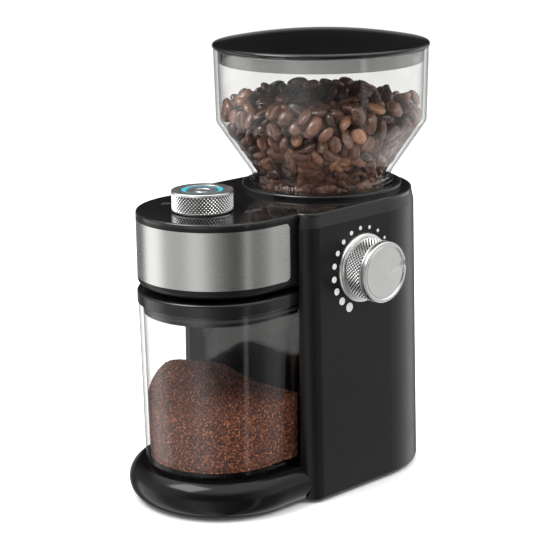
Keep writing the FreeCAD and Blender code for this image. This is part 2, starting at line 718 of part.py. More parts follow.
def dial_cap():
    """Face of the dial: a raised rim and a sunk pointer that runs out to the rim."""
    x0 = DIAL_TIP_X - 3.4
    r = DIAL_R - 0.1
    rim = r - 1.8
    cap = turned_x([
        (x0, 0), (x0, r), (DIAL_TIP_X - 0.6, r), (DIAL_TIP_X, r - 0.6),
        (DIAL_TIP_X, rim + 0.3), (DIAL_TIP_X - 0.5, rim), (DIAL_TIP_X - 0.5, 0),
    ], DIAL_Y, DIAL_Z)
    mark = box(DIAL_TIP_X - 1.4, DIAL_TIP_X + 1, DIAL_Y - 1.2, DIAL_Y + 1.2,
               DIAL_Z + r * 0.5, DIAL_Z + r + 1)
    mark.rotate(V(0, DIAL_Y, DIAL_Z), V(1, 0, 0), DIAL_REST_DEG)
    return cap.cut(mark)


def involute(base_r, angle):
    """Point of an involute unrolled from a circle by an angle."""
    return (base_r * (math.cos(angle) + angle * math.sin(angle)),
            base_r * (math.sin(angle) - angle * math.cos(angle)))


def pinion_wire(x):
    """Outline of the pinion at x, one tooth pointing straight up."""
    base_r = PINION_R * math.cos(math.radians(20))
    tip_r = PINION_R + PINION_ADDENDUM
    root_r = PINION_R - TOOTH_ROOT
    unroll_tip = math.sqrt((tip_r / base_r) ** 2 - 1)
    unroll_pitch = math.sqrt((PINION_R / base_r) ** 2 - 1)
    px, py = involute(base_r, unroll_pitch)
    half = (math.pi * GEAR_MODULE / 2 - GEAR_PLAY) / 2 / PINION_R + math.atan2(py, px)
    flank = []
    for step in range(5):
        fx, fy = involute(base_r, unroll_tip * step / 4)
        flank.append((math.hypot(fx, fy), half - math.atan2(fy, fx)))
    points = []
    for tooth in range(PINION_TEETH):
        centre = 2 * math.pi * tooth / PINION_TEETH
        side = [(root_r, half)] + flank
        ends = [(r, centre - a) for r, a in side]
        ends += [(r, centre + a) for r, a in reversed(side)]
        for r, a in ends:
            points.append(V(x, DIAL_Y - r * math.sin(a), DIAL_Z + r * math.cos(a)))
    return path(points)


def dial_shaft():
    """Dial shaft with its pinion at the inner end."""
    pinion = Part.Face(pinion_wire(RACK_X + 0.1)).extrude(V(RACK_W - 0.2, 0, 0))
    shaft = cyl_x(DIAL_SHAFT_R, RACK_X + 0.1, DIAL_TIP_X - 3.4, DIAL_Y, DIAL_Z)
    return pinion.fuse(shaft).removeSplitter()


def rack_bar():
    """Toothed bar over the pinion; its upright pin turns the adjusting ring."""
    pitch = math.pi * GEAR_MODULE
    slope = math.tan(math.radians(20))
    half = (pitch / 2 - GEAR_PLAY) / 2
    tip_z = RACK_Z - RACK_ADDENDUM
    root_z = RACK_Z + TOOTH_ROOT
    y0, y1 = RACK_Y0, RACK_Y1
    x0 = RACK_X
    points = [V(x0, y0, root_z)]
    first = math.ceil((y0 + half + 1 - DIAL_Y) / pitch - 0.5)
    last = math.floor((TEETH_Y1 - DIAL_Y) / pitch - 0.5)
    for index in range(first, last + 1):
        y = DIAL_Y + (index + 0.5) * pitch
        foot = half + TOOTH_ROOT * slope
        tip = half - RACK_ADDENDUM * slope
        points += [V(x0, y - foot, root_z), V(x0, y - tip, tip_z),
                   V(x0, y + tip, tip_z), V(x0, y + foot, root_z)]
    top = RACK_Z + RACK_H
    points += [V(x0, y1, root_z), V(x0, y1, top), V(x0, y0, top)]
    bar = Part.Face(path(points)).extrude(V(RACK_W, 0, 0))
    pin = cyl(PIN_R, top - 1, KEEPER_Z - 1.0, PIN_RADIUS, PIN_Y)
    return bar.fuse(pin)


DIAL_MIN_DEG = -162.0 - DIAL_REST_DEG
DIAL_MAX_DEG = 162.0 - DIAL_REST_DEG
RACK_BACK = -PINION_R * math.radians(DIAL_MIN_DEG)
RACK_FORTH = PINION_R * math.radians(DIAL_MAX_DEG)
RACK_Y0 = DIAL_Y - RACK_BACK - 5.0
RACK_Y1 = PIN_Y + PIN_R + 1.4
TEETH_Y1 = DIAL_Y + RACK_FORTH + 3.0


def rack_guide():
    """Channel that the bar slides in, fixed to the dial's pad inside the tower."""
    x0 = RACK_X - GAP - 0.9
    x_in = RACK_X - GAP
    x_out = RACK_X + RACK_W + GAP
    z0 = RACK_Z - RACK_ADDENDUM - GAP - 1.4
    top = RACK_Z + RACK_H + GAP
    guide = box(x0, GUIDE_OUT_X, GUIDE_Y0, GUIDE_Y1, z0, top + GUIDE_WALL)
    slot = box(x_in, x_out, GUIDE_Y0 - 1, GUIDE_Y1 + 1, z0 + 1.4, top)
    well = box(x_in, x_out, GUIDE_Y0 + 4, GUIDE_Y1 - 1.4, z0 - 1, z0 + 2)
    bore = cyl_x(BUSH_R + 0.6, x_out - 1, GUIDE_OUT_X + 1, DIAL_Y, DIAL_Z)
    return guide.cut(slot).cut(well).cut(bore)


def adjusting_ring():
    """Ring that the rack's pin turns; its bore carries the burr carrier's thread."""
    ring = tube(CHAMBER_R, CARRIER_R + GAP, RING_Z, RING_Z + RING_H)
    swing = math.degrees(math.atan2(PIN_Y, PIN_RADIUS))
    arm = box(CHAMBER_R - 2, PIN_RADIUS + 6.5, -6, 6, RING_Z, RING_Z + RING_H)
    half = PIN_R + 0.4
    slot_ends = [cyl(half, RING_Z - 1, RING_Z + RING_H + 1, PIN_RADIUS - 0.6, 0),
                 cyl(half, RING_Z - 1, RING_Z + RING_H + 1, PIN_RADIUS + 2.2, 0)]
    slot = box(PIN_RADIUS - 0.6, PIN_RADIUS + 2.2, -half, half, RING_Z - 1,
               RING_Z + RING_H + 1).multiFuse(slot_ends)
    ring = ring.fuse(arm).cut(slot)
    ring = ring.cut(cyl(CARRIER_R + GAP, RING_Z - 1, RING_Z + RING_H + 1))
    ring.rotate(V(0, 0, 0), UP, swing)
    return ring


# ================================================================ grinding core
def burr_chamber():
    """Cup round the burrs, with a skirt down to the motor mount and ears for the keeper."""
    z0 = MOUNT_Z + MOUNT_H
    floor_z = CHAMBER_FLOOR_Z - WALL
    neck_z = UPPER_BURR_Z + 1.4
    guide_r = CARRIER_R + GAP
    cup = turned([
        (SEAL_R + SLIP, floor_z), (CHAMBER_IN_R, floor_z), (CHAMBER_IN_R, z0),
        (CHAMBER_R, z0), (CHAMBER_R, CHAMBER_TOP_Z), (guide_r, CHAMBER_TOP_Z),
        (guide_r, neck_z), (CHAMBER_IN_R, neck_z), (CHAMBER_IN_R, CHAMBER_FLOOR_Z),
        (SEAL_R + SLIP, CHAMBER_FLOOR_Z),
    ])
    ears = []
    ear_z = CHUTE_FLOOR_Z + CHUTE_H + CHUTE_WALL + GAP
    for degrees in EAR_DEG:
        pillar = cyl(EAR_R, ear_z, KEEPER_Z, PIN_RADIUS, 0)
        rib = box(CHAMBER_R - 1, PIN_RADIUS, -2, 2, ear_z, CHAMBER_TOP_Z - 0.3)
        ear = pillar.fuse(rib).cut(cyl(SCREW_R + RUN, 0, KEEPER_Z + 1, PIN_RADIUS, 0))
        ear.rotate(V(0, 0, 0), UP, degrees)
        ears.append(ear)
    cup = cup.multiFuse(ears)
    mouth = box(-CHUTE_HALF_W, CHUTE_HALF_W, -CHAMBER_R - 1, -BURR_R, CHUTE_FLOOR_Z,
                CHUTE_FLOOR_Z + CHUTE_H)
    keys = box(-KEY_HALF_W - GAP, KEY_HALF_W + GAP, -KEY_R - GAP, KEY_R + GAP, neck_z - 1,
               CHAMBER_TOP_Z + 1)
    return cup.cut(mouth).cut(keys).removeSplitter()


SEAL_R = 9.0
KEY_HALF_W = 2.2
KEY_R = CARRIER_R + 1.5


def shaft_seal():
    """Lip seal in the chamber's floor."""
    return turned([
        (SHAFT_R + RUN, CHAMBER_FLOOR_Z - WALL), (SEAL_R, CHAMBER_FLOOR_Z - WALL),
        (SEAL_R, CHAMBER_FLOOR_Z), (SHAFT_R + 1.5, CHAMBER_FLOOR_Z + 0.6),
        (SHAFT_R + RUN, CHAMBER_FLOOR_Z + 0.6),
    ])


def burr_hub():
    """Impeller that carries the lower burr and throws the grounds into the chute."""
    boss = cyl(11.0, HUB_Z, LOWER_BURR_Z)
    disc = cyl(BURR_R, LOWER_BURR_Z - 2.0, LOWER_BURR_Z)
    blade = box(9, CHAMBER_IN_R - 1.5, -1.2, 1.2, HUB_Z, LOWER_BURR_Z - 0.6)
    pilot = cyl(LOWER_BURR_BORE_R, LOWER_BURR_Z, LOWER_BURR_Z + LOWER_BURR_H - 1)
    hub = fused([boss, disc, pilot] + around(blade, 4))
    return hub.cut(cyl(SHAFT_R, HUB_Z - 1, UPPER_BURR_Z))


LOWER_BURR_BORE_R = 9.0


def burr_ring(bore_r, z0, height, cut_up):
    """Steel burr: a ring with slanted grooves in its cutting face."""
    ring = tube(BURR_R, bore_r, z0, z0 + height)
    groove = Part.makeBox(BURR_R - bore_r - 1.0, 1.6, 3.0, V(bore_r - 1.0, -0.8, -1.5))
    groove.rotate(V(0, 0, 0), V(1, 0, 0), 45)
    groove.rotate(V(bore_r, 0, 0), UP, 20)
    depth_z = z0 + height if cut_up else z0
    groove.translate(V(0, 0, depth_z))
    return ring.cut(Part.makeCompound(around(groove, BURR_TEETH)))


def lower_burr():
    """Turning burr, teeth up."""
    return burr_ring(LOWER_BURR_BORE_R, LOWER_BURR_Z, LOWER_BURR_H, True)


def upper_burr():
    """Fixed burr, teeth down, held in the carrier."""
    return burr_ring(UPPER_BURR_BORE_R, UPPER_BURR_Z, UPPER_BURR_H, False)


def burr_nut():
    """Feed nut that clamps the hub on the shaft and draws the beans in."""
    z0 = LOWER_BURR_Z + LOWER_BURR_H - 1
    nut = turned([(SHAFT_R, z0), (8.0, z0), (6.0, z0 + 6.0), (SHAFT_R, z0 + 6.0)])
    fin = box(5.0, 9.0, -0.9, 0.9, z0 + 1.4, z0 + 5.0)
    return fused([nut] + around(fin, 3))


def burr_carrier():
    """Holder of the upper burr with the bean funnel; it rises and falls in its thread."""
    z1 = UPPER_BURR_Z + UPPER_BURR_H
    top = z1 + CARRIER_H - UPPER_BURR_H
    cup = turned([
        (BURR_R + SLIP, CARRIER_Z), (CARRIER_R, CARRIER_Z), (CARRIER_R, top),
        (CARRIER_R - 3.0, top), (UPPER_BURR_BORE_R, z1 + 1.6), (UPPER_BURR_BORE_R, z1),
        (BURR_R + SLIP, z1),
    ])
    key = box(CARRIER_R - 1, KEY_R, -KEY_HALF_W, KEY_HALF_W, CHAMBER_TOP_Z - 3.4,
              CHAMBER_TOP_Z - 0.9)
    key.rotate(V(0, 0, 0), UP, 90)
    return fused([cup] + around(key, 2))


def keeper_ring():
    """Ring screwed to the chamber's ears that keeps the adjusting ring down."""
    ring = tube(KEEPER_R, CARRIER_R + 1.0, KEEPER_Z, KEEPER_Z + KEEPER_H)
    holes = [cyl(SCREW_R + RUN, KEEPER_Z - 1, KEEPER_Z + 5, *polar(PIN_RADIUS, degrees))
             for degrees in EAR_DEG]
    return ring.cut(Part.makeCompound(holes))


def keeper_screws():
    """Three flat-headed screws of the keeper ring."""
    screws = []
    z = KEEPER_Z + KEEPER_H
    for degrees in EAR_DEG:
        x, y = polar(PIN_RADIUS, degrees)
        screws.append(cyl(SCREW_R, z - 8, z, x, y).fuse(cyl(2.6, z, z + KEEPER_HEAD_H, x, y)))
    return Part.makeCompound(screws)


def hopper_gasket():
    """Soft ring between the keeper and the hopper's foot."""
    return tube(NECK_R - 3.5, CARRIER_R + 1.5, KEEPER_Z + KEEPER_H, HOPPER_FOOT_Z - GAP)


def grounds_chute():
    """Duct from the chamber to the spout over the jar."""
    x = CHUTE_HALF_W + CHUTE_WALL
    z0 = CHUTE_FLOOR_Z - CHUTE_WALL
    z1 = CHUTE_FLOOR_Z + CHUTE_H + CHUTE_WALL
    duct = box(-x, x, CHUTE_END_Y - CHUTE_WALL, -BURR_R, z0, z1)
    spout = box(-x, x, CHUTE_END_Y - CHUTE_WALL, SPOUT_BACK_Y + CHUTE_WALL,
                HEAD_FOOT_Z - 0.5, z1)
    room = box(-CHUTE_HALF_W, CHUTE_HALF_W, CHUTE_END_Y, -BURR_R + 1, CHUTE_FLOOR_Z,
               CHUTE_FLOOR_Z + CHUTE_H)
    drop = box(-CHUTE_HALF_W, CHUTE_HALF_W, CHUTE_END_Y, SPOUT_BACK_Y, HEAD_FOOT_Z - 2,
               CHUTE_FLOOR_Z + 1)
    chute = duct.fuse(spout).cut(room).cut(drop)
    return chute.cut(cyl(CHAMBER_R + SLIP, z0 - 1, z1 + 1)).removeSplitter()


# ================================================================ motor
def motor_can():
    """Drawn steel can, open below, with the upper bearing's seat."""
    z0 = MOTOR_FOOT_Z + 4.0
    z1 = MOTOR_TOP_Z
    return turned([
        (BEARING_R, z1), (BEARING_R, z1 - 7.0), (BEARING_R + 2.0, z1 - 7.0),
        (BEARING_R + 2.0, z1 - CAN_WALL), (MOTOR_R - CAN_WALL, z1 - CAN_WALL),
        (MOTOR_R - CAN_WALL, z0), (MOTOR_R, z0), (MOTOR_R, z1),
    ])


BEARING_R = 9.0
BEARING_H = 6.0


def motor_end_cap():
    """End cap with the lower bearing's seat and the brushes' windows."""
    z0 = MOTOR_FOOT_Z
    cap = turned([
        (BEARING_R, z0), (MOTOR_R, z0), (MOTOR_R, z0 + 4.0), (BEARING_R + 2, z0 + 4.0),
        (BEARING_R + 2, z0 + 7.0), (BEARING_R, z0 + 7.0),
    ])
    vent = box(16, 26, -3, 3, z0 - 1, z0 + 5)
    return cap.cut(Part.makeCompound(around(vent, 6)))


def motor_bearings():
    """Upper and lower bearings of the motor's shaft."""
    lower = tube(BEARING_R, SHAFT_R + RUN, MOTOR_FOOT_Z + 0.5, MOTOR_FOOT_Z + 0.5 + BEARING_H)
    upper = tube(BEARING_R, SHAFT_R + RUN, MOTOR_TOP_Z - 6.5, MOTOR_TOP_Z - 6.5 + BEARING_H)
    return Part.makeCompound([lower, upper])


def field_magnets():
    """Two curved magnets against the can's inside."""
    z0 = MOTOR_FOOT_Z + 18
    z1 = MOTOR_TOP_Z - 14
    ring = tube(MOTOR_R - CAN_WALL - SLIP, MOTOR_R - CAN_WALL - 6, z0, z1)
    gap = box(-8, 8, -MOTOR_R, MOTOR_R, z0 - 1, z1 + 1)
    return ring.cut(gap)


def motor_shaft():
    """Shaft that runs from the lower bearing to the feed nut."""
    z0 = MOTOR_FOOT_Z - 1.5
    z1 = LOWER_BURR_Z + LOWER_BURR_H + 5.0
    return cyl(SHAFT_R, z0, z1)


def armature_core():
    """Slotted iron core on the shaft."""
    z0 = MOTOR_FOOT_Z + 24
    z1 = MOTOR_TOP_Z - 20
    r = MOTOR_R - CAN_WALL - 6 - 0.6
    core = tube(r, SHAFT_R, z0, z1)
    slot = box(r - 6.5, r + 1, -1.3, 1.3, z0 - 1, z1 + 1)
    return core.cut(Part.makeCompound(around(slot, 8)))


def armature_winding():
    """Copper end turns above and below the core."""
    r = MOTOR_R - CAN_WALL - 6 - 2.6
    z0 = MOTOR_FOOT_Z + 24
    z1 = MOTOR_TOP_Z - 20
    rings = []
    for a, b in ((z0 - 5.5, z0), (z1, z1 + 5.5)):
        ring = tube(r, r - 9, a, b)
        edge_z = a if b == z0 else b
        rings.append(round_edges(ring, 1.6, at_height(edge_z)))
    return Part.makeCompound(rings)


def commutator():
    """Copper segments on the shaft, below the core."""
    z0 = MOTOR_FOOT_Z + 8.5
    z1 = MOTOR_FOOT_Z + 17.5
    ring = tube(8.0, SHAFT_R, z0, z1)
    cut = box(7.2, 9, -0.25, 0.25, z0 - 1, z1 + 1)
    return ring.cut(Part.makeCompound(around(cut, 16)))


def carbon_brushes():
    """Two carbon brushes that bear on the commutator."""
    z0 = MOTOR_FOOT_Z + 10.5
    block = box(8.0 + GAP, 18, -2.5, 2.5, z0, z0 + 5)
    return Part.makeCompound(both_sides(block))


def brush_holders():
    """Two holders that carry the brushes from the end cap."""
    z0 = MOTOR_FOOT_Z + 4.0
    holder = box(12, 19.6, -4, 4, z0, MOTOR_FOOT_Z + 17)
    channel = box(8, 18 + SLIP, -2.5 - SLIP, 2.5 + SLIP, MOTOR_FOOT_Z + 10.5 - SLIP,
                  MOTOR_FOOT_Z + 15.5 + SLIP)
    return Part.makeCompound(both_sides(holder.cut(channel)))


def cooling_fan():
    """Fan on the shaft inside the can, under the upper bearing."""
    z0 = MOTOR_TOP_Z - 13.5
    hub = tube(9.0, SHAFT_R, z0, z0 + 5.0)
    disc = tube(20.0, 8.5, z0, z0 + 1.2)
    blade = box(8.5, MOTOR_R - CAN_WALL - 2.5, -0.6, 0.6, z0, z0 + 5.0)
    return fused([hub, disc] + around(blade, 8))


def motor_mount():
    """Plate that hangs the motor and carries the chamber, on four isolators."""
    z0 = MOUNT_Z
    plate = cyl(CHAMBER_R + 1.5, z0, z0 + MOUNT_H)
    arms = []
    for x, y in MOUNT_POINTS:
        reach = math.hypot(x, y)
        arm = box(20, reach, -5, 5, z0, z0 + MOUNT_H).fuse(cyl(5.5, z0, z0 + MOUNT_H, reach, 0))
        arm.rotate(V(0, 0, 0), UP, math.degrees(math.atan2(y, x)))
        arms.append(arm)
    plate = plate.multiFuse(arms)
    holes = [cyl(SCREW_R + RUN, z0 - 1, z0 + 5, x, y) for x, y in MOUNT_POINTS]
    holes.append(cyl(SHAFT_R + 2, z0 - 1, z0 + 5))
    return plate.cut(Part.makeCompound(holes)).removeSplitter()


def motor_isolators():
    """Four rubber rings between the motor mount and the housing's bosses."""
    return Part.makeCompound([tube(5.0, SCREW_R + 0.5, MOUNT_Z - ISOLATOR_H, MOUNT_Z, x, y)
                              for x, y in MOUNT_POINTS])


def motor_screws():
    """Four screws through the motor mount and the isolators."""
    return Part.makeCompound([screw(x, y, MOUNT_Z + MOUNT_H, 16.0, up=False)
                              for x, y in MOUNT_POINTS])


# ================================================================ switches, board, cord
JAR_SWITCH_W = 12.0
JAR_SWITCH_H = 9.0
JAR_SWITCH_Z = 70.0


def jar_switch():
    """Interlock switch in the recess wall behind the jar."""
    y0 = RECESS_BACK_Y
    body = box(-JAR_SWITCH_W / 2, JAR_SWITCH_W / 2, y0, y0 + 6.5, JAR_SWITCH_Z,
               JAR_SWITCH_Z + JAR_SWITCH_H)
    lever = box(-2.0, 2.0, y0 - 0.7, y0, JAR_SWITCH_Z + 2.0, JAR_SWITCH_Z + 7.0)
    return body.fuse(lever).removeSplitter()


def hopper_switch():
    """Interlock switch beside the collar, under the top plate."""
    x1 = -(CORE_R + SLIP)
    return box(x1 - 5.0, x1, -8, 8, SEAM_Z - 9.0, SEAM_Z - 0.5)


def power_board():
    """Rectifier board on posts behind the base, with its capacitor and relay."""
    z0 = 0.8 + DECK
    board = box(-24, 24, -56, -34, z0 + 3.0, z0 + 4.6)
    posts = [cyl(2.0, z0, z0 + 3.0, x, y) for x in (-20.0, 20.0) for y in (-52.0, -38.0)]
    can = cyl(5.0, z0 + 4.6, z0 + 15.0, -12, -45)
    relay = box(2, 18, -51, -40, z0 + 4.6, z0 + 13.0)
    return fused([board, can, relay] + posts)


def cord_gland():
    """Bushing in the rear wall that the mains lead comes out of."""
    y_wall = tower_half_w(CORD_Z)
    y0 = y_wall - WALL - 4.0
    y1 = y_wall + 3.0
    gland = fused([
        cyl_y(GLAND_R, y0, y1, 0, CORD_Z),
        cyl_y(GLAND_R + 1.6, y0, y0 + 2.2, 0, CORD_Z),
        cyl_y(GLAND_R + 1.6, y_wall + 0.4, y1, 0, CORD_Z),
    ])
    return gland.cut(cyl_y(CORD_BORE_R, y0 - 1, y1 + 1, 0, CORD_Z))


# ================================================================ hopper and lid
def hopper_collar():
    """Locking collar in the top plate: a visible rounded ring, and a groove for the lugs."""
    z0 = KEEPER_Z + KEEPER_H + KEEPER_HEAD_H + GAP
    lug_z = HOPPER_FOOT_Z + 1.8
    collar = turned([
        (COLLAR_IN_R, z0), (COLLAR_SKIRT_R, z0), (COLLAR_SKIRT_R, TOP_Z), (COLLAR_R, TOP_Z),
        (COLLAR_R, TOP_Z + 1.4),
        ((COLLAR_R - 0.5, TOP_Z + 2.6), (COLLAR_R - 1.8, COLLAR_TOP_Z)),
        (COLLAR_IN_R, COLLAR_TOP_Z),
    ])
    groove_r = NECK_R + LUG_REACH + GAP
    groove = tube(groove_r, COLLAR_IN_R - 1, lug_z - GAP, lug_z + LUG_H + GAP)
    entry = turned([
        (COLLAR_IN_R - 1, lug_z), (groove_r, lug_z), (groove_r, COLLAR_TOP_Z + 1),
        (COLLAR_IN_R - 1, COLLAR_TOP_Z + 1),
    ], degrees=LUG_DEG + 2)
    entries = around(entry, LUG_COUNT, start=LUG_START_DEG - 1 - TWIST_DEG)
    return collar.cut(Part.makeCompound([groove] + entries))


LUG_START_DEG = 40.0


def hopper():
    """Clear bowl with a cone, a neck that drops into the collar, and locking lugs."""
    w = HOPPER_WALL
    bend = BOWL_Z
    low_r = HOPPER_R - HOPPER_TAPER
    cone_foot_r = NECK_R + 0.9
    slope = (low_r - cone_foot_r) / CONE_H
    side = w * math.sqrt(1 + slope * slope)
    funnel_z = HOPPER_FOOT_Z + 3.0
    bowl = turned([
        (THROAT_R, HOPPER_FOOT_Z), (THROAT_R + w, HOPPER_FOOT_Z),
        (THROAT_R + w, HOPPER_FOOT_Z + 1.2), (NECK_R - w, funnel_z + 3.4),
        (NECK_R - w, HOPPER_FOOT_Z), (NECK_R, HOPPER_FOOT_Z), (NECK_R, FLANGE_Z),
        (FLANGE_R, FLANGE_Z), (FLANGE_R, FLANGE_Z + 1.6), (cone_foot_r, FLANGE_Z + 2.2),
        (cone_foot_r, CONE_Z), (low_r, bend), (HOPPER_R, BOWL_TOP_Z),
        (HOPPER_R - w, BOWL_TOP_Z), (low_r - w, bend + 1.0), (cone_foot_r - side, CONE_Z + 0.6),
        (NECK_R - w, CONE_Z - 2.0), (NECK_R - w, funnel_z + 5.8), (THROAT_R, funnel_z),
    ])
    lug_z = HOPPER_FOOT_Z + 1.8
    lug = turned([
        (NECK_R - 0.5, lug_z), (NECK_R + LUG_REACH, lug_z),
        (NECK_R + LUG_REACH, lug_z + LUG_H), (NECK_R - 0.5, lug_z + LUG_H),
    ], degrees=LUG_DEG)
    return fused([bowl] + around(lug, LUG_COUNT, start=LUG_START_DEG))


def hopper_lid():
    """Domed gloss lid with a rounded edge and a step that the skirt hangs from."""
    edge_z = LID_Z + LID_EDGE
    edge_r = LID_R - 1.0
    ball_r = (edge_r ** 2 + LID_DOME ** 2) / (2 * LID_DOME)

    def dome(r, depth):
        """Height of the ball's surface at a radius, at a depth under the outside."""
        return LID_TOP_Z - ball_r + math.sqrt((ball_r - depth) ** 2 - r ** 2)

    inner_r = LID_SKIRT_R - SKIRT_WALL - 1.0
    half = edge_r / 2
    return turned([
        (0, LID_TOP_Z),
        ((half, dome(half, 0)), (edge_r, edge_z)),
        ((LID_R - 0.1, edge_z - 0.7), (LID_R, LID_Z + 1.0)),
        (LID_R - 0.8, LID_Z),
        (inner_r, LID_Z),
        (inner_r, dome(inner_r, LID_WALL)),
        ((half, dome(half, LID_WALL)), (0, LID_TOP_Z - LID_WALL)),
    ])


LID_SKIRT_R = HOPPER_R - HOPPER_WALL - 0.6


def lid_skirt():
    """Clear ring under the lid that centres it in the bowl."""
    return tube(LID_SKIRT_R, LID_SKIRT_R - SKIRT_WALL, LID_Z - SKIRT_H, LID_Z)


# ================================================================ jar
def jar_form(inset, z0, z1, corner_r):
    """The jar's tapered form between two heights, its walls moved in by inset."""
    def r_at(z):
        return JAR_R - JAR_TAPER * (JAR_RIM_Z - z) / JAR_H - inset

    low = d_plan(r_at(z0), JAR_CENTRE_Y, JAR_BACK_Y - inset, corner_r, z0)
    high = d_plan(r_at(z1), JAR_CENTRE_Y, JAR_BACK_Y - inset, corner_r, z1)
    return loft(low, high)


def jar():
    """Clear grounds jar with a sunk panel on each flat side."""
    outer = round_edges(jar_form(0.0, JAR_FOOT_Z, JAR_RIM_Z, 5.0), 2.0, at_height(JAR_FOOT_Z))
    inner = jar_form(JAR_WALL, JAR_FOOT_Z + JAR_WALL + 0.6, JAR_RIM_Z + 1.0, 3.0)
    shell = outer.cut(inner)
    y0, y1 = PANEL_Y
    z1 = JAR_RIM_Z - 14.3
    wire = path([
        V(0, y0, JAR_FOOT_Z + 4), V(0, y1, JAR_FOOT_Z + 4), V(0, y1, z1 - 3),
        (V(0, y1 - 0.88, z1 - 0.88), V(0, y1 - 3, z1)), V(0, y0 + 3, z1),
        (V(0, y0 + 0.88, z1 - 0.88), V(0, y0, z1 - 3)),
    ])
    panel = Part.Face(wire).extrude(V(JAR_R, 0, 0))
    panel = panel.cut(jar_form(0.5, JAR_FOOT_Z + 1, JAR_RIM_Z, 4.5))
    return shell.cut(Part.makeCompound(both_sides(panel)))


PANEL_Y = (-82.0, -66.0)


def jar_lid():
    """Jar lid with a plug inside the rim and an inlet under the chute's spout."""
    z0 = JAR_RIM_Z + SLIP
    over = 0.5
    outline = d_plan(JAR_R + over, JAR_CENTRE_Y, JAR_BACK_Y, 5.0, z0)
    cap = round_edges(prism(outline, JAR_LID_TOP_Z - z0), 1.6, at_height(JAR_LID_TOP_Z))
    plug_plan = d_plan(JAR_R - JAR_WALL - 0.4, JAR_CENTRE_Y, JAR_BACK_Y - JAR_WALL - 0.4,
                       3.0, JAR_RIM_Z - JAR_LID_PLUG)
    plug = prism(plug_plan, JAR_LID_PLUG + SLIP + 0.5)
    wall = JAR_LID_WALL
    room_plan = d_plan(JAR_R - JAR_WALL - 0.4 - wall, JAR_CENTRE_Y,
                       JAR_BACK_Y - JAR_WALL - 0.4 - wall, 2.0, JAR_RIM_Z - JAR_LID_PLUG - 1)
    room = prism(room_plan, JAR_LID_TOP_Z - wall - (JAR_RIM_Z - JAR_LID_PLUG - 1))
    inlet = box(-CHUTE_HALF_W - 2, CHUTE_HALF_W + 2, CHUTE_END_Y - 2, SPOUT_BACK_Y + 2,
                JAR_RIM_Z, JAR_LID_TOP_Z + 1)
    lid = cap.fuse(plug).cut(room).cut(inlet)
    for x0, x1 in ((-JAR_R + 13, -JAR_R + 14.2), (JAR_R - 14.2, JAR_R - 13)):
        lid = lid.cut(box(x0, x1, JAR_CENTRE_Y - 12, JAR_CENTRE_Y + 12,
                          JAR_LID_TOP_Z - 0.5, JAR_LID_TOP_Z + 1))
    return lid.removeSplitter()


def jar_lid_seal():
    """Soft band round the lid's plug."""
    z0 = JAR_RIM_Z - 4.0
    outer = d_plan(JAR_R - JAR_WALL - 0.1, JAR_CENTRE_Y, JAR_BACK_Y - JAR_WALL - 0.1, 3.2, z0)
    inner = d_plan(JAR_R - JAR_WALL - 0.4, JAR_CENTRE_Y, JAR_BACK_Y - JAR_WALL - 0.4, 3.0,
                   z0 - 1)
    return prism(outer, 1.6).cut(prism(inner, 4.0))


# ================================================================ output
NODES = [
    body_housing, base_shell, bottom_plate, base_screws, rubber_feet, top_cover,
    cover_screws, top_plate, head_shell, steel_band, control_board, board_screws,
    knob_encoder, start_knob, light_ring, start_button, dial_bezel, dial_bushing,
    dial_barrel, dial_cap, dial_shaft, rack_bar, rack_guide, adjusting_ring, burr_chamber,
    shaft_seal, burr_hub, lower_burr, upper_burr, burr_nut, burr_carrier, keeper_ring,
    keeper_screws, hopper_gasket, grounds_chute, motor_can, motor_end_cap, motor_bearings,
    field_magnets, motor_shaft, armature_core, armature_winding, commutator,
    carbon_brushes, brush_holders, cooling_fan, motor_mount, motor_isolators, motor_screws,
    jar_switch, hopper_switch, power_board, cord_gland, hopper_collar, hopper, hopper_lid,
    lid_skirt, jar, jar_lid, jar_lid_seal,
]


def export(name, shape):
    """Move a piece into the machine's frame and write its STEP file."""
    if shape.isNull() or not shape.isValid() or not shape.Solids:
        print("BAD", name, shape.isValid(), len(shape.Solids))
    piece = shape.copy()
    piece.translate(SHIFT)
    piece.exportStep(os.path.join("parts", name + ".step"))


def main():
    """Build and write every node."""
    os.makedirs("parts", exist_ok=True)
    for build in NODES:
        export(build.__name__, build())


main()
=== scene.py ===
"""Looks of a burr coffee grinder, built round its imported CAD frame.

The machine stands on the floor, +Z up, its front with the grounds jar towards -Y and the
grind dial on +X.  Sizes in this file are millimetres; Mesher.build turns them to metres.
Every place comes from the frame's boxes, and every new piece is a surface worked out as one
array: a profile turned about an axis, or carried round the outline of the jar.
"""
import json
import logging
import math
from dataclasses import dataclass, field
from enum import Enum
from typing import Any, Iterable, Optional, Sequence, Union

import bpy
import numpy as np
from mathutils import Matrix, Vector
from mathutils.bvhtree import BVHTree


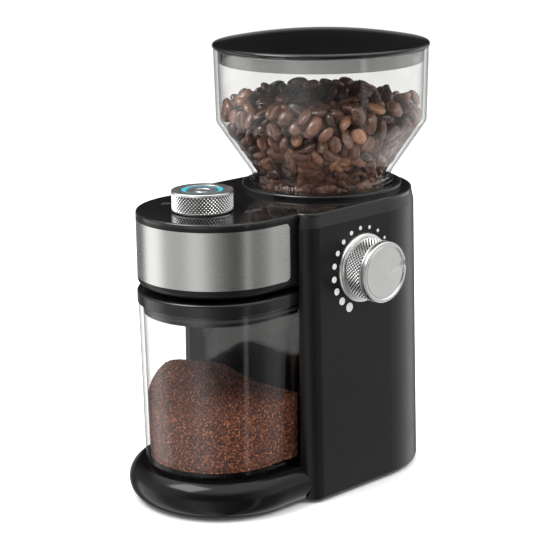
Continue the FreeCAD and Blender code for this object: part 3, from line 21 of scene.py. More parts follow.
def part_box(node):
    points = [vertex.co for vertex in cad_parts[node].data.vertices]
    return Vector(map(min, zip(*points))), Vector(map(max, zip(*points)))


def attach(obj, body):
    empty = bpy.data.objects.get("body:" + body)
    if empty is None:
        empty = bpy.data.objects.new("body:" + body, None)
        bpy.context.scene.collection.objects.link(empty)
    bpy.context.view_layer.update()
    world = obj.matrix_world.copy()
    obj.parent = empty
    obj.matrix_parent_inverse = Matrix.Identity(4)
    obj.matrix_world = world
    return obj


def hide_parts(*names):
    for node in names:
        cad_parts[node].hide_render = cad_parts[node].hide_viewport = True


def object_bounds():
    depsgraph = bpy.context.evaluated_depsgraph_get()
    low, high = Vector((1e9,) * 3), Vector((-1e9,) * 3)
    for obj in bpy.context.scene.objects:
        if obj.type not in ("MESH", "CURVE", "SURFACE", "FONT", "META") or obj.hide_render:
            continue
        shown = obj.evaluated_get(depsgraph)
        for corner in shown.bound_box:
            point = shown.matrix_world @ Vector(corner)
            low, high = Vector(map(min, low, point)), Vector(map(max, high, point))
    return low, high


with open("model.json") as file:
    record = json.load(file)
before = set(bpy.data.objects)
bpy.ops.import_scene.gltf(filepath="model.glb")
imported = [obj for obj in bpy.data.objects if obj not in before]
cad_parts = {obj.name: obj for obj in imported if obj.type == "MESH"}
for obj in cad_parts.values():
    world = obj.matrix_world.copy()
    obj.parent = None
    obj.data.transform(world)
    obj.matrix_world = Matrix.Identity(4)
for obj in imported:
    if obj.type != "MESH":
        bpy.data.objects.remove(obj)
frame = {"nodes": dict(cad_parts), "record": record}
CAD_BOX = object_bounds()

Array = np.ndarray
Number = Union[float, int]
MM = 0.001
TURN = 2.0 * math.pi
log = logging.getLogger("grinder")


# ================================================================ shader values
class Value:
    """A number socket that takes part in Python expressions by adding Math nodes."""

    def __init__(self, net: "Net", socket: bpy.types.NodeSocket) -> None:
        """Wraps an output socket of a node in net."""
        self.net = net
        self.socket = socket

    def _math(self, operation: str, *others: Any, swap: bool = False) -> "Value":
        """Adds one Math node.

        Args:
            operation: the Math node's operation.
            others: the other operands, values or numbers.
            swap: puts this value second, for a reflected operator.

        Returns:
            The node's result.
        """
        terms = [self, *others]
        if swap:
            terms[0], terms[1] = terms[1], terms[0]
        node = self.net.node("ShaderNodeMath", {"operation": operation}, dict(enumerate(terms)))
        return Value(self.net, node.outputs[0])

    def __add__(self, other: Any) -> "Value":
        """Sum."""
        return self._math("ADD", other)

    __radd__ = __add__

    def __sub__(self, other: Any) -> "Value":
        """Difference."""
        return self._math("SUBTRACT", other)

    def __rsub__(self, other: Any) -> "Value":
        """Difference with this value taken away."""
        return self._math("SUBTRACT", other, swap=True)

    def __mul__(self, other: Any) -> "Value":
        """Product."""
        return self._math("MULTIPLY", other)

    __rmul__ = __mul__

    def __truediv__(self, other: Any) -> "Value":
        """Quotient."""
        return self._math("DIVIDE", other)

    def __pow__(self, other: Any) -> "Value":
        """Power."""
        return self._math("POWER", other)

    def sin(self) -> "Value":
        """Sine, of radians."""
        return self._math("SINE")

    def bearing(self, other: Any) -> "Value":
        """Angle whose tangent is this value over the other."""
        return self._math("ARCTAN2", other)

    def size(self) -> "Value":
        """Value without its sign."""
        return self._math("ABSOLUTE")

    def step(self, low: Number, high: Number, to_low: Number = 0.0,
             to_high: Number = 1.0) -> "Value":
        """Smooth step from to_low at low to to_high at high, held outside."""
        node = self.net.node("ShaderNodeMapRange", {"interpolation_type": "SMOOTHSTEP"},
                             {0: self, 1: low, 2: high, 3: to_low, 4: to_high})
        return Value(self.net, node.outputs[0])


class Net:
    """One material's or world's node tree."""

    def __init__(self, tree: bpy.types.NodeTree) -> None:
        """Empties a node tree and takes it over."""
        tree.nodes.clear()
        self.tree = tree

    def node(self, kind: str, settings: Optional[dict] = None,
             inputs: Optional[dict] = None) -> bpy.types.Node:
        """Adds a node.

        Args:
            kind: the node's type.
            settings: its properties, set first; "stops" fills a colour ramp.
            inputs: socket name or number to a number, colour, socket or Value.

        Returns:
            The node.
        """
        made = self.tree.nodes.new(kind)
        for key, setting in (settings or {}).items():
            if key == "stops":
                self._fill_ramp(made.color_ramp, setting)
            else:
                setattr(made, key, setting)
        for key, value in (inputs or {}).items():
            self.feed(made.inputs[key], value)
        return made

    @staticmethod
    def _fill_ramp(ramp: bpy.types.ColorRamp, stops: Sequence[tuple]) -> None:
        """Sets a ramp's stops, each a place and a colour."""
        while len(ramp.elements) < len(stops):
            ramp.elements.new(1.0)
        for element, (place, colour) in zip(ramp.elements, stops):
            element.position = place
            element.color = (*colour, 1.0)

    def feed(self, socket: bpy.types.NodeSocket, value: Any) -> None:
        """Links or sets one input socket."""
        if isinstance(value, Value):
            value = value.socket
        if isinstance(value, bpy.types.NodeSocket):
            self.tree.links.new(value, socket)
        elif isinstance(value, (tuple, list)) and len(value) == 3 and socket.type == "RGBA":
            socket.default_value = (*value, 1.0)
        else:
            socket.default_value = value

    def value(self, socket: bpy.types.NodeSocket) -> Value:
        """Wraps a socket for use in expressions."""
        return Value(self, socket)

    def object_point(self, scale: Sequence[float] = (1, 1, 1),
                     centre: Sequence[float] = (0, 0, 0)) -> bpy.types.NodeSocket:
        """Object coordinates, moved so that centre is the origin and then scaled."""
        point = self.node("ShaderNodeTexCoord").outputs["Object"]
        moved = self.node("ShaderNodeVectorMath", {"operation": "SUBTRACT"},
                          {0: point, 1: tuple(centre)})
        return self.node("ShaderNodeVectorMath", {"operation": "MULTIPLY"},
                         {0: moved.outputs[0], 1: tuple(scale)}).outputs[0]

    def noise(self, scale: float, detail: float = 3.0, rough: float = 0.55,
              at: Optional[bpy.types.NodeSocket] = None) -> Value:
        """Fractal noise, about 0.5 on average; scale counts cells in a metre."""
        node = self.node("ShaderNodeTexNoise", None,
                         {"Vector": at or self.object_point(), "Scale": scale,
                          "Detail": detail, "Roughness": rough})
        return self.value(node.outputs["Fac"])

    def cells(self, scale: float, distance: str = "EUCLIDEAN") -> bpy.types.Node:
        """Voronoi cells; scale counts cells in a metre, distance names how they are measured."""
        return self.node("ShaderNodeTexVoronoi", {"distance": distance},
                         {"Vector": self.object_point(), "Scale": scale})

    def tone(self) -> Value:
        """The tone attribute that a mesh carries at its points."""
        return self.value(self.node("ShaderNodeAttribute", {"attribute_name": "tone"})
                          .outputs["Fac"])

    def ramp(self, at: Any, stops: Sequence[tuple]) -> bpy.types.NodeSocket:
        """Colour ramp over a value."""
        return self.node("ShaderNodeValToRGB", {"stops": stops}, {0: at}).outputs["Color"]

    def blend(self, share: Any, first: Any, second: Any) -> bpy.types.NodeSocket:
        """Mixes two colours."""
        node = self.node("ShaderNodeMix", {"data_type": "RGBA"}, {0: share, 6: first, 7: second})
        return node.outputs[2]

    def bump(self, height: Any, depth_mm: float, strength: float = 1.0) -> bpy.types.NodeSocket:
        """Normal bent by a height map from 0 to 1 that is depth_mm deep."""
        node = self.node("ShaderNodeBump", None, {"Strength": strength, "Distance": depth_mm * MM,
                                                  "Height": height})
        return node.outputs["Normal"]

    def principled(self, inputs: dict) -> bpy.types.NodeSocket:
        """Principled surface."""
        return self.node("ShaderNodeBsdfPrincipled", None, inputs).outputs[0]

    def mix(self, share: Any, first: bpy.types.NodeSocket,
            second: bpy.types.NodeSocket) -> bpy.types.NodeSocket:
        """Mixes two surfaces."""
        return self.node("ShaderNodeMixShader", None, {0: share, 1: first, 2: second}).outputs[0]


# ================================================================ finishes
class Finish:
    """A finish that makes its material once and hands it out."""

    made: dict[str, bpy.types.Material] = {}
    name: str

    def paint(self, net: Net) -> bpy.types.NodeSocket:
        """Builds the nodes and returns the surface's socket."""
        raise NotImplementedError

    def material(self) -> bpy.types.Material:
        """The finish's material, made on its first use."""
        if self.name not in Finish.made:
            material = bpy.data.materials.new(self.name)
            material.use_nodes = True
            net = Net(material.node_tree)
            output = net.node("ShaderNodeOutputMaterial")
            net.feed(output.inputs["Surface"], self.paint(net))
            Finish.made[self.name] = material
        return Finish.made[self.name]


@dataclass(frozen=True)
class MouldedPlastic(Finish):
    """Opaque moulded plastic with a fine spark-eroded grain, faint flow marks and handling."""

    name: str
    colour: tuple[float, float, float]
    roughness: float
    grain_mm: float = 0.45
    grain_depth_mm: float = 0.012
    mottle: float = 0.12
    specular: float = 0.5

    def paint(self, net: Net) -> bpy.types.NodeSocket:
        """Colour drifts by mottle, roughness by smudges, and cells give the grain."""
        drift = net.noise(26.0, 4.0)
        smudge = net.noise(70.0, 5.0, 0.6)
        grain = net.noise(1.0 / (self.grain_mm * MM), 2.0, 0.5)
        dark = tuple(c * (1.0 - self.mottle) for c in self.colour)
        light = tuple(min(1.0, c * (1.0 + self.mottle) + 0.001) for c in self.colour)
        rough = smudge.step(0.3, 0.7, self.roughness * 0.88, self.roughness * 1.12)
        return net.principled({
            "Base Color": net.blend(drift.step(0.3, 0.7), dark, light),
            "Roughness": rough + (grain - 0.5) * (self.roughness * 0.12),
            "IOR": 1.5,
            "Specular IOR Level": self.specular,
            "Normal": net.bump(grain, self.grain_depth_mm),
        })


@dataclass(frozen=True)
class Metal(Finish):
    """Bare metal with fine mottling in its colour and roughness."""

    name: str
    colour: tuple[float, float, float]
    roughness: float
    grain_mm: float = 0.25
    grain_depth_mm: float = 0.006
    groove_painted_shade: float = 0.0

    def paint(self, net: Net) -> bpy.types.NodeSocket:
        """A blasted surface: noise drives the colour, the roughness and a shallow bump.

        On a knurled piece the tone attribute darkens the grooves towards near-black: painted shade
        where the recesses would be in shadow.
        """
        drift = net.noise(60.0, 4.0)
        grain = net.noise(1.0 / (self.grain_mm * MM), 2.0)
        dark = tuple(c * 0.9 for c in self.colour)
        colour = net.blend(drift.step(0.3, 0.7), dark, self.colour)
        # painted shade: the grooves' depth mixes a near-black into the colour
        if self.groove_painted_shade:
            colour = net.blend(net.tone().step(0.25, 0.85, 0.0, self.groove_painted_shade), colour,
                               (0.012, 0.012, 0.012))
        return net.principled({
            "Base Color": colour,
            "Metallic": 1.0,
            "Roughness": self.roughness + (grain - 0.5) * 0.1 + (drift - 0.5) * 0.08,
            "Normal": net.bump(grain, self.grain_depth_mm),
        })


@dataclass(frozen=True)
class BrushedSteel(Finish):
    """Stainless sheet brushed along its length, level with the floor."""

    name: str
    colour: tuple[float, float, float] = (0.62, 0.62, 0.6)
    roughness: float = 0.27
    line_mm: float = 0.12

    def paint(self, net: Net) -> bpy.types.NodeSocket:
        """Noise squeezed along Z draws level lines; broad noise leaves cloudy patches."""
        thin = 1.0 / (self.line_mm * MM)
        lines = net.noise(1.0, 4.0, 0.7, net.object_point((thin * 0.012, thin * 0.012, thin)))
        cloud = net.noise(30.0, 3.0)
        tone = lines.step(0.25, 0.75) * 0.75 + cloud * 0.25
        dark = tuple(c * 0.84 for c in self.colour)
        return net.principled({
            "Base Color": net.blend(tone, dark, self.colour),
            "Metallic": 1.0,
            "Roughness": self.roughness + (lines - 0.5) * 0.16 + (cloud - 0.5) * 0.06,
            "Normal": net.bump(lines, 0.004),
        })


@dataclass(frozen=True)
class ClearPlastic(Finish):
    """Clear moulded plastic seen as a thin wall: tinted where it is seen edge on.

    The light that comes straight through keeps its direction, so a wall adds no noise and
    what stands behind it stays sharp.
    """

    name: str
    face_on: tuple[float, float, float] = (0.945, 0.945, 0.94)
    edge_on: tuple[float, float, float] = (0.6, 0.6, 0.59)
    gloss: float = 0.03
    face_gloss: float = 0.03
    edge_gloss: float = 0.6
    edge_start: float = 0.62
    haze: float = 0.0

    def paint(self, net: Net) -> bpy.types.NodeSocket:
        """Two clear tints by how the wall faces, a trace of haze, and a gloss.

        Gloss rises as face_gloss + (edge_gloss - face_gloss) facing^5, which is the same from
        both sides of a wall.
        """
        facing = net.value(net.node("ShaderNodeLayerWeight", None, {"Blend": 0.5})
                           .outputs["Facing"])
        clear = net.node("ShaderNodeBsdfTransparent", None, {"Color": self.face_on}).outputs[0]
        deep = net.node("ShaderNodeBsdfTransparent", None, {"Color": self.edge_on}).outputs[0]
        body = net.mix(facing.step(self.edge_start, 1.0), clear, deep)
        if self.haze:
            milk = net.node("ShaderNodeBsdfDiffuse", None, {"Color": (0.75, 0.74, 0.73)})
            streak = net.noise(40.0, 3.0)
            body = net.mix(streak.step(0.2, 0.8, self.haze * 0.6, self.haze), body,
                           milk.outputs[0])
        shine = net.node("ShaderNodeBsdfGlossy", None,
                         {"Color": (1.0, 1.0, 1.0), "Roughness": self.gloss}).outputs[0]
        mirror = facing ** 5.0 * (self.edge_gloss - self.face_gloss) + self.face_gloss
        return net.mix(mirror, body, shine)


@dataclass(frozen=True)
class Rubber(Finish):
    """Black rubber, dull and slightly dusty."""

    name: str
    colour: tuple[float, float, float] = (0.025, 0.025, 0.026)

    def paint(self, net: Net) -> bpy.types.NodeSocket:
        """Dust noise lightens the colour a little; a fine bump roughens the skin."""
        dust = net.noise(150.0, 5.0, 0.65)
        skin = net.noise(2600.0, 2.0)
        pale = tuple(c * 1.9 + 0.008 for c in self.colour)
        return net.principled({
            "Base Color": net.blend(dust.step(0.45, 0.85), self.colour, pale),
            "Roughness": 0.72 + (dust - 0.5) * 0.2,
            "Normal": net.bump(skin, 0.02),
        })


@dataclass(frozen=True)
class CircuitBoard(Finish):
    """Green solder mask with copper tracks showing under it."""

    name: str
    pitch_mm: float = 2.54

    def paint(self, net: Net) -> bpy.types.NodeSocket:
        """Tracks are the thin borders between square cells on the board's plane."""
        cells = net.cells(1.0 / (self.pitch_mm * MM), "CHEBYCHEV")
        track = net.value(cells.outputs["Distance"]).step(0.36, 0.42)
        cloud = net.noise(120.0, 3.0)
        mask = net.blend(cloud, (0.008, 0.06, 0.03), (0.012, 0.085, 0.042))
        return net.principled({
            "Base Color": net.blend(track, mask, (0.03, 0.17, 0.075)),
            "Roughness": 0.38 - track * 0.08,
            "Coat Weight": 0.4,
            "Normal": net.bump(track, 0.035),
        })


@dataclass(frozen=True)
class WoundCopper(Finish):
    """Enamelled copper wire wound in layers, or turned copper."""

    name: str
    wire_mm: float = 0.6

    def paint(self, net: Net) -> bpy.types.NodeSocket:
        """Ripples along Z, a wire apart: size(sin(pi z / wire))."""
        parts = net.node("ShaderNodeSeparateXYZ", None, {0: net.object_point()})
        height = net.value(parts.outputs["Z"])
        ripple = (height * (math.pi / (self.wire_mm * MM))).sin().size()
        tone = net.noise(900.0, 3.0)
        return net.principled({
            "Base Color": net.blend(tone, (0.36, 0.12, 0.05), (0.62, 0.25, 0.11)),
            "Metallic": 0.9,
            "Roughness": 0.42 - ripple * 0.12,
            "Normal": net.bump(ripple, 0.2),
        })


@dataclass(frozen=True)
class LightRing(Finish):
    """Frosted ring lit from below by small lamps, brightest over each lamp."""

    name: str
    centre_m: tuple[float, float, float]
    lamp_deg: float = 45.0
    colour: tuple[float, float, float] = (0.0, 0.5, 0.62)
    pale: tuple[float, float, float] = (0.03, 0.09, 0.12)

    def paint(self, net: Net) -> bpy.types.NodeSocket:
        """Glow follows cos squared of the angle from the lamps' line."""
        parts = net.node("ShaderNodeSeparateXYZ", None,
                         {0: net.object_point(centre=self.centre_m)})
        x, y = net.value(parts.outputs["X"]), net.value(parts.outputs["Y"])
        a = math.radians(self.lamp_deg)
        along = x * math.cos(a) + y * math.sin(a)
        glow = (along * along) / (x * x + y * y + 1e-9)
        frost = net.noise(1800.0, 2.0)
        lit = net.blend(glow.step(0.3, 0.95), self.pale, self.colour)
        node = net.node("ShaderNodeBsdfPrincipled", None, {
            "Base Color": net.blend(frost, (0.03, 0.09, 0.11), (0.05, 0.13, 0.15)),
            "Roughness": 0.35, "Emission Color": lit, "Emission Strength": 0.9,
            "Normal": net.bump(frost, 0.01),
        })
        return node.outputs[0]


@dataclass(frozen=True)
class RoastedBean(Finish):
    """Oily roasted beans: every bean has its own brown, and a pale seam in its flat side."""

    name: str

    def paint(self, net: Net) -> bpy.types.NodeSocket:
        """The bean's own tone picks the brown; chaff lies in the seam at half the girth."""
        uv = net.node("ShaderNodeSeparateXYZ", None,
                      {0: net.node("ShaderNodeUVMap").outputs[0]})
        around, along = net.value(uv.outputs["X"]), net.value(uv.outputs["Y"])
        seam = (around - 0.5 + (along * 9.0).sin() * 0.012).size().step(0.012, 0.05, 1.0, 0.0)
        ends = (along - 0.5).size().step(0.36, 0.46, 1.0, 0.0)
        patch = net.noise(420.0, 4.0, 0.6)
        brown = net.ramp(net.tone() + (patch - 0.5) * 0.5, [
            (0.05, (0.034, 0.016, 0.011)), (0.4, (0.1, 0.044, 0.028)),
            (0.75, (0.2, 0.09, 0.055)), (1.0, (0.38, 0.185, 0.1))])
        chaff = seam * ends
        return net.principled({
            "Base Color": net.blend(chaff * 0.6, brown, (0.3, 0.17, 0.1)),
            "Roughness": patch.step(0.25, 0.75, 0.2, 0.4) + chaff * 0.3,
            "Coat Weight": 0.8,
            "Coat Roughness": 0.18,
            "Normal": net.bump(patch * 0.5 - chaff * 0.7, 0.5),
        })


@dataclass(frozen=True)
class GroundCoffee(Finish):
    """Coarse grounds: dark and light crumbs about a millimetre across."""

    name: str
    crumb_mm: float = 0.75

    def paint(self, net: Net) -> bpy.types.NodeSocket:
        """Each cell takes a brown from its own random colour; its middle stands proud."""
        crumbs = net.cells(1.0 / (self.crumb_mm * MM))
        dust = net.cells(2.4 / (self.crumb_mm * MM))
        own = net.node("ShaderNodeSeparateColor", None, {0: crumbs.outputs["Color"]})
        fine = net.node("ShaderNodeSeparateColor", None, {0: dust.outputs["Color"]})
        pick = net.value(own.outputs[0]) * 0.7 + net.value(fine.outputs[1]) * 0.3
        brown = net.ramp(pick, [
            (0.1, (0.013, 0.003, 0.002)), (0.4, (0.062, 0.014, 0.007)),
            (0.62, (0.15, 0.037, 0.017)), (0.8, (0.32, 0.092, 0.04)),
            (0.95, (0.78, 0.33, 0.12))])
        hill = 1.0 - net.value(crumbs.outputs["Distance"])
        small = 1.0 - net.value(dust.outputs["Distance"])
        return net.principled({
            "Base Color": brown,
            "Roughness": 0.62 - net.value(own.outputs[1]) * 0.22,
            "Normal": net.bump(hill * 0.7 + small * 0.3, 0.9),
        })


@dataclass(frozen=True)
class PrintedInk(Finish):
    """Pad-printed ink, slightly broken where the plastic's grain shows through."""

    name: str
    colour: tuple[float, float, float]

    def paint(self, net: Net) -> bpy.types.NodeSocket:
        """Fine noise darkens the ink in specks."""
        speck = net.noise(2200.0, 3.0, 0.6)
        worn = tuple(c * 0.7 for c in self.colour)
        return net.principled({
            "Base Color": net.blend(speck.step(0.3, 0.55), worn, self.colour),
            "Roughness": 0.5 + (speck - 0.5) * 0.2,
            "Normal": net.bump(speck, 0.01),
        })


@dataclass(frozen=True)
class PaleFloor(Finish):
    """Seamless pale studio sweep."""

    name: str = "pale_floor"

    def paint(self, net: Net) -> bpy.types.NodeSocket:
        """Matt near-white with a trace of mottling."""
        cloud = net.noise(3.0, 2.0)
        return net.principled({
            "Base Color": net.blend(cloud, (0.93, 0.93, 0.93), (0.95, 0.95, 0.95)),
            "Roughness": 0.9, "Specular IOR Level": 0.1,
        })


class Slot(Enum):
    """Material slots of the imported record."""

    BLACK_SATIN = "black_satin"
    BLACK_MATTE = "black_matte"
    BLACK_GLOSS = "black_gloss"
    RUBBER = "rubber"
    BRUSHED_BAND = "brushed_band"
    SATIN_METAL = "satin_metal"
    CYAN_LIGHT = "cyan_light"
    BUTTON_GREY = "button_grey"
    CLEAR_PLASTIC = "clear_plastic"
    SMOKE_PLASTIC = "smoke_plastic"
    BOARD_GREEN = "board_green"
    STEEL = "steel"
    IRON = "iron"
    BURR_STEEL = "burr_steel"
    COPPER = "copper"
    CARBON = "carbon"
    WHITE_PLASTIC = "white_plastic"
    GREY_PLASTIC = "grey_plastic"


HOUSING = MouldedPlastic("housing_black", (0.0042, 0.0038, 0.0038), 0.3, specular=0.25)
TRIM = MouldedPlastic("top_cover_black", (0.006, 0.0058, 0.0055), 0.38, specular=0.4)
PIANO = MouldedPlastic("piano_black", (0.0075, 0.0068, 0.0068), 0.06, grain_depth_mm=0.0004)
LID_BLACK = MouldedPlastic("lid_black", (0.003, 0.0026, 0.0024), 0.09, grain_depth_mm=0.0006)
SATIN = Metal("satin_knob", (0.82, 0.82, 0.805), 0.33)
# the knurled finish paints shade into its grooves by their depth
KNURL = Metal("knurled_knob", (0.86, 0.86, 0.845), 0.3, grain_depth_mm=0.002,
              groove_painted_shade=0.97)
CLEAR = ClearPlastic("clear_hopper")
JAR_CLEAR = ClearPlastic("clear_jar", (0.925, 0.925, 0.92))
SKIRT = ClearPlastic("clear_skirt", (0.5, 0.5, 0.495), (0.4, 0.4, 0.39), 0.08,
                     edge_start=0.3, haze=0.06)
BEANS = RoastedBean("roasted_beans")
GROUNDS = GroundCoffee("ground_coffee")
INK = PrintedInk("dial_ink", (0.6, 0.6, 0.59))
FAINT_INK = PrintedInk("plate_ink", (0.11, 0.11, 0.11))

SLOT_FINISH: dict[Slot, Finish] = {
    Slot.BLACK_SATIN: HOUSING,
    Slot.BLACK_MATTE: MouldedPlastic("base_black", (0.003, 0.0027, 0.0027), 0.13, specular=0.22),
    Slot.BLACK_GLOSS: PIANO,
    Slot.RUBBER: Rubber("foot_rubber"),
    Slot.BRUSHED_BAND: BrushedSteel("brushed_band"),
    Slot.SATIN_METAL: SATIN,
    Slot.BUTTON_GREY: Metal("button_metal", (0.66, 0.68, 0.71), 0.34),
    Slot.CLEAR_PLASTIC: CLEAR,
    Slot.SMOKE_PLASTIC: SKIRT,
    Slot.BOARD_GREEN: CircuitBoard("circuit_board"),
    Slot.STEEL: Metal("zinc_steel", (0.55, 0.55, 0.54), 0.36),
    Slot.IRON: Metal("core_iron", (0.2, 0.195, 0.19), 0.5, 0.5, 0.03),
    Slot.BURR_STEEL: Metal("burr_steel", (0.48, 0.47, 0.45), 0.28),
    Slot.COPPER: WoundCopper("wound_copper"),
    Slot.CARBON: MouldedPlastic("brush_carbon", (0.03, 0.03, 0.032), 0.5, 0.3, 0.03),
    Slot.WHITE_PLASTIC: MouldedPlastic("gear_white", (0.72, 0.71, 0.67), 0.4),
    Slot.GREY_PLASTIC: MouldedPlastic("core_grey", (0.19, 0.19, 0.19), 0.45),
}

NODE_FINISH: dict[str, Finish] = {
    "top_cover": TRIM,
    "jar_switch": HOUSING,
    "base_shell": MouldedPlastic("base_gloss_black", (0.003, 0.0027, 0.0027), 0.14,
                                 grain_depth_mm=0.003, specular=0.25),
    "jar_lid": MouldedPlastic("jar_lid_black", (0.005, 0.0046, 0.0046), 0.2),
    "hopper_collar": MouldedPlastic("collar_black", (0.005, 0.0048, 0.0046), 0.15,
                                    grain_depth_mm=0.002),
}


# ================================================================ meshes
class Axis(Enum):
    """Axis that a profile turns about."""

    X = 0
    Z = 2


def node_box(node: str) -> tuple[Array, Array]:
    """Lowest and highest corner of a CAD node, in millimetres."""
    low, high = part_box(node)
    return np.array(low) / MM, np.array(high) / MM


def turned_box(node: str, axis: Axis = Axis.Z) -> tuple[Array, float, float, float]:
    """Centre, radius and the two ends along the axis of a turned CAD node, in millimetres."""
    low, high = node_box(node)
    across = 0 if axis is Axis.Z else 2
    return ((low + high) / 2, float(high[across] - low[across]) / 2,
            float(low[axis.value]), float(high[axis.value]))


def softened(corners: Sequence[tuple[float, float, float]], closed: bool = False,
             steps: int = 5) -> Array:
    """Profile through corners with each corner drawn as a short curve.

    A corner P with softness s is replaced by the curve
    q(t) = (1 - t)^2 A + 2 t (1 - t) P + t^2 B, with A and B on its two sides at s from P.

    Args:
        corners: (across, along, softness) for each corner.
        closed: whether the last corner joins the first.
        steps: points on each curve.

    Returns:
        The points, as rows of (across, along).
    """
    data = np.array(corners, float)
    point, soft = data[:, :2], data[:, 2:3]
    before, after = np.roll(point, 1, 0) - point, np.roll(point, -1, 0) - point
    unit = [v / np.maximum(np.linalg.norm(v, axis=1, keepdims=True), 1e-9)
            for v in (before, after)]
    if not closed:
        soft[[0, -1]] = 0.0
    t = np.linspace(0.0, 1.0, steps)[None, :, None]
    a, b, p = (point + soft * unit[0])[:, None], (point + soft * unit[1])[:, None], point[:, None]
    curve = ((1 - t) ** 2 * a + 2 * t * (1 - t) * p + t ** 2 * b).reshape(-1, 2)
    return np.vstack([curve, curve[:1]]) if closed else curve


def about_axis(radius: Array, height: Array, angle: Array, centre: Sequence[float],
               axis: Axis = Axis.Z) -> Array:
    """Points at centre + r (cos a, sin a) across the axis and h along it.

    Args:
        radius: distances from the axis.
        height: places along the axis.
        angle: turns about the axis, as a column.
        centre: a point on the axis; its part along the axis is left out.
        axis: the axis.

    Returns:
        Grid of points, one row for each angle.
    """
    flat = np.stack(np.broadcast_arrays(radius * np.cos(angle), radius * np.sin(angle), height),
                    -1)
    if axis is Axis.X:
        flat = flat[..., [2, 0, 1]]
    origin = np.array(centre, float)
    origin[axis.value] = 0.0
    return flat + origin


def turned(profile: Array, centre: Sequence[float], segments: int = 128,
           axis: Axis = Axis.Z) -> Array:
    """Surface of revolution of rows of (radius, height), in an even number of segments."""
    angle = np.linspace(0.0, TURN, segments + 1)[:, None]
    return about_axis(profile[None, :, 0], profile[None, :, 1], angle, centre, axis)


def swept_block(block: Array, angles: Array, centre: Sequence[float]) -> Array:
    """Closed section carried upright through the angles, shut at both ends by its middle."""
    heart = np.broadcast_to(block.mean(0), block.shape)
    ring = np.stack([heart] + [block] * len(angles) + [heart])
    turn = np.concatenate([angles[:1], angles, angles[-1:]])[:, None]
    return about_axis(ring[..., 0], ring[..., 1], turn, centre)


def smooth_mask(distance: Array, width: float) -> Array:
    """One inside, nought outside, smooth over width: 3 t^2 - 2 t^3 of the clipped distance."""
    t = np.clip(0.5 - distance / width, 0.0, 1.0)
    return t * t * (3.0 - 2.0 * t)


class Mesher:
    """Collects grids of points and makes one mesh object of them."""

    def __init__(self) -> None:
        """Starts with no faces."""
        self.points: list[Array] = []
        self.faces: list[Array] = []
        self.uvs: list[Array] = []
        self.tones: list[Array] = []
        self.count = 0

    def add(self, grid: Array, tone: Optional[Array] = None) -> "Mesher":
        """Adds a closed surface given as a grid of points.

        Its volume is the sum of a . (b x c) / 6 over its triangles; where that is negative
        the faces are turned over.

        Args:
            grid: rows x columns x 3 points in millimetres.
            tone: a value for each point, for the finish to read.

        Returns:
            This mesher.
        """
        rows, columns = grid.shape[:2]
        index = np.arange(rows * columns).reshape(rows, columns)
        quads = np.stack([index[:-1, :-1], index[1:, :-1], index[1:, 1:], index[:-1, 1:]],
                         -1).reshape(-1, 4)
        flat = grid.reshape(-1, 3)
        a, b, c, d = (flat[quads[:, k]] for k in range(4))
        volume = (np.einsum("ij,ij->i", a, np.cross(b, c)).sum()
                  + np.einsum("ij,ij->i", a, np.cross(c, d)).sum())
        if volume < 0:
            quads = quads[:, ::-1]
        u, v = np.meshgrid(np.linspace(0, 1, rows), np.linspace(0, 1, columns), indexing="ij")
        return self.add_faces(flat, quads, np.stack([u, v], -1).reshape(-1, 2),
                              None if tone is None else tone.reshape(-1))

    def add_faces(self, points: Array, quads: Array, uv: Array,
                  tone: Optional[Array] = None) -> "Mesher":
        """Adds points and quads that are already the right way round."""
        self.points.append(points)
        self.faces.append(quads + self.count)
        self.uvs.append(uv)
        self.tones.append(np.zeros(len(points)) if tone is None else tone)
        self.count += len(points)
        return self

    def build(self, name: str, finish: Finish, body: str, slot: Optional[Slot] = None,
              replaces: Sequence[str] = (), crease_deg: float = 32.0) -> bpy.types.Object:
        """Welds what was added and makes the finished piece.

        Args:
            name: the piece's name.
            finish: its finish.
            body: the CAD body that it rides on.
            slot: the record's slot of the piece's finish; not used.
            replaces: CAD nodes that it stands for.
            crease_deg: an edge sharper than this stays sharp.

        Returns:
            The piece.
        """
        points = np.concatenate(self.points)
        quads = np.concatenate(self.faces)
        uv, tone = np.concatenate(self.uvs), np.concatenate(self.tones)
        _, first, weld = np.unique(np.round(points, 4) + 0.0, axis=0, return_index=True,
                                   return_inverse=True)
        weld = weld.reshape(-1)
        joined = weld[quads]
        repeat = joined == np.roll(joined, -1, axis=1)
        times = repeat.sum(1)
        corners = [quads[times == 0].reshape(-1)]
        sizes = [np.full(int((times == 0).sum()), 4)]
        for k in range(4):
            pick = (times == 1) & repeat[:, k]
            corners.append(np.delete(quads[pick], k, axis=1).reshape(-1))
            sizes.append(np.full(int(pick.sum()), 3))
        loop, size = np.concatenate(corners), np.concatenate(sizes)
        mesh = bpy.data.meshes.new(name)
        mesh.vertices.add(len(first))
        mesh.vertices.foreach_set("co", (points[first] * MM).astype(np.float32).ravel())
        mesh.loops.add(len(loop))
        mesh.loops.foreach_set("vertex_index", weld[loop].astype(np.int32))
        mesh.polygons.add(len(size))
        mesh.polygons.foreach_set("loop_start",
                                  np.concatenate([[0], np.cumsum(size)[:-1]]).astype(np.int32))
        mesh.polygons.foreach_set("use_smooth", np.ones(len(size), bool))
        mesh.update(calc_edges=True)
        mesh.uv_layers.new(name="UVMap").data.foreach_set("uv",
                                                          uv[loop].astype(np.float32).ravel())
        mesh.attributes.new("tone", "FLOAT", "POINT").data.foreach_set(
            "value", tone[first].astype(np.float32))
        mesh.validate()
        mesh.set_sharp_from_angle(angle=math.radians(crease_deg))
        piece = bpy.data.objects.new(name, mesh)
        bpy.context.scene.collection.objects.link(piece)
        mesh.materials.append(finish.material())
        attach(piece, body)
        if replaces:
            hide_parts(*replaces)
        log.info("%s rides on %s, %d faces", name, body, len(size))
        return piece


KNURL_FLANK = 1.25
KNURL_FADE = 0.25


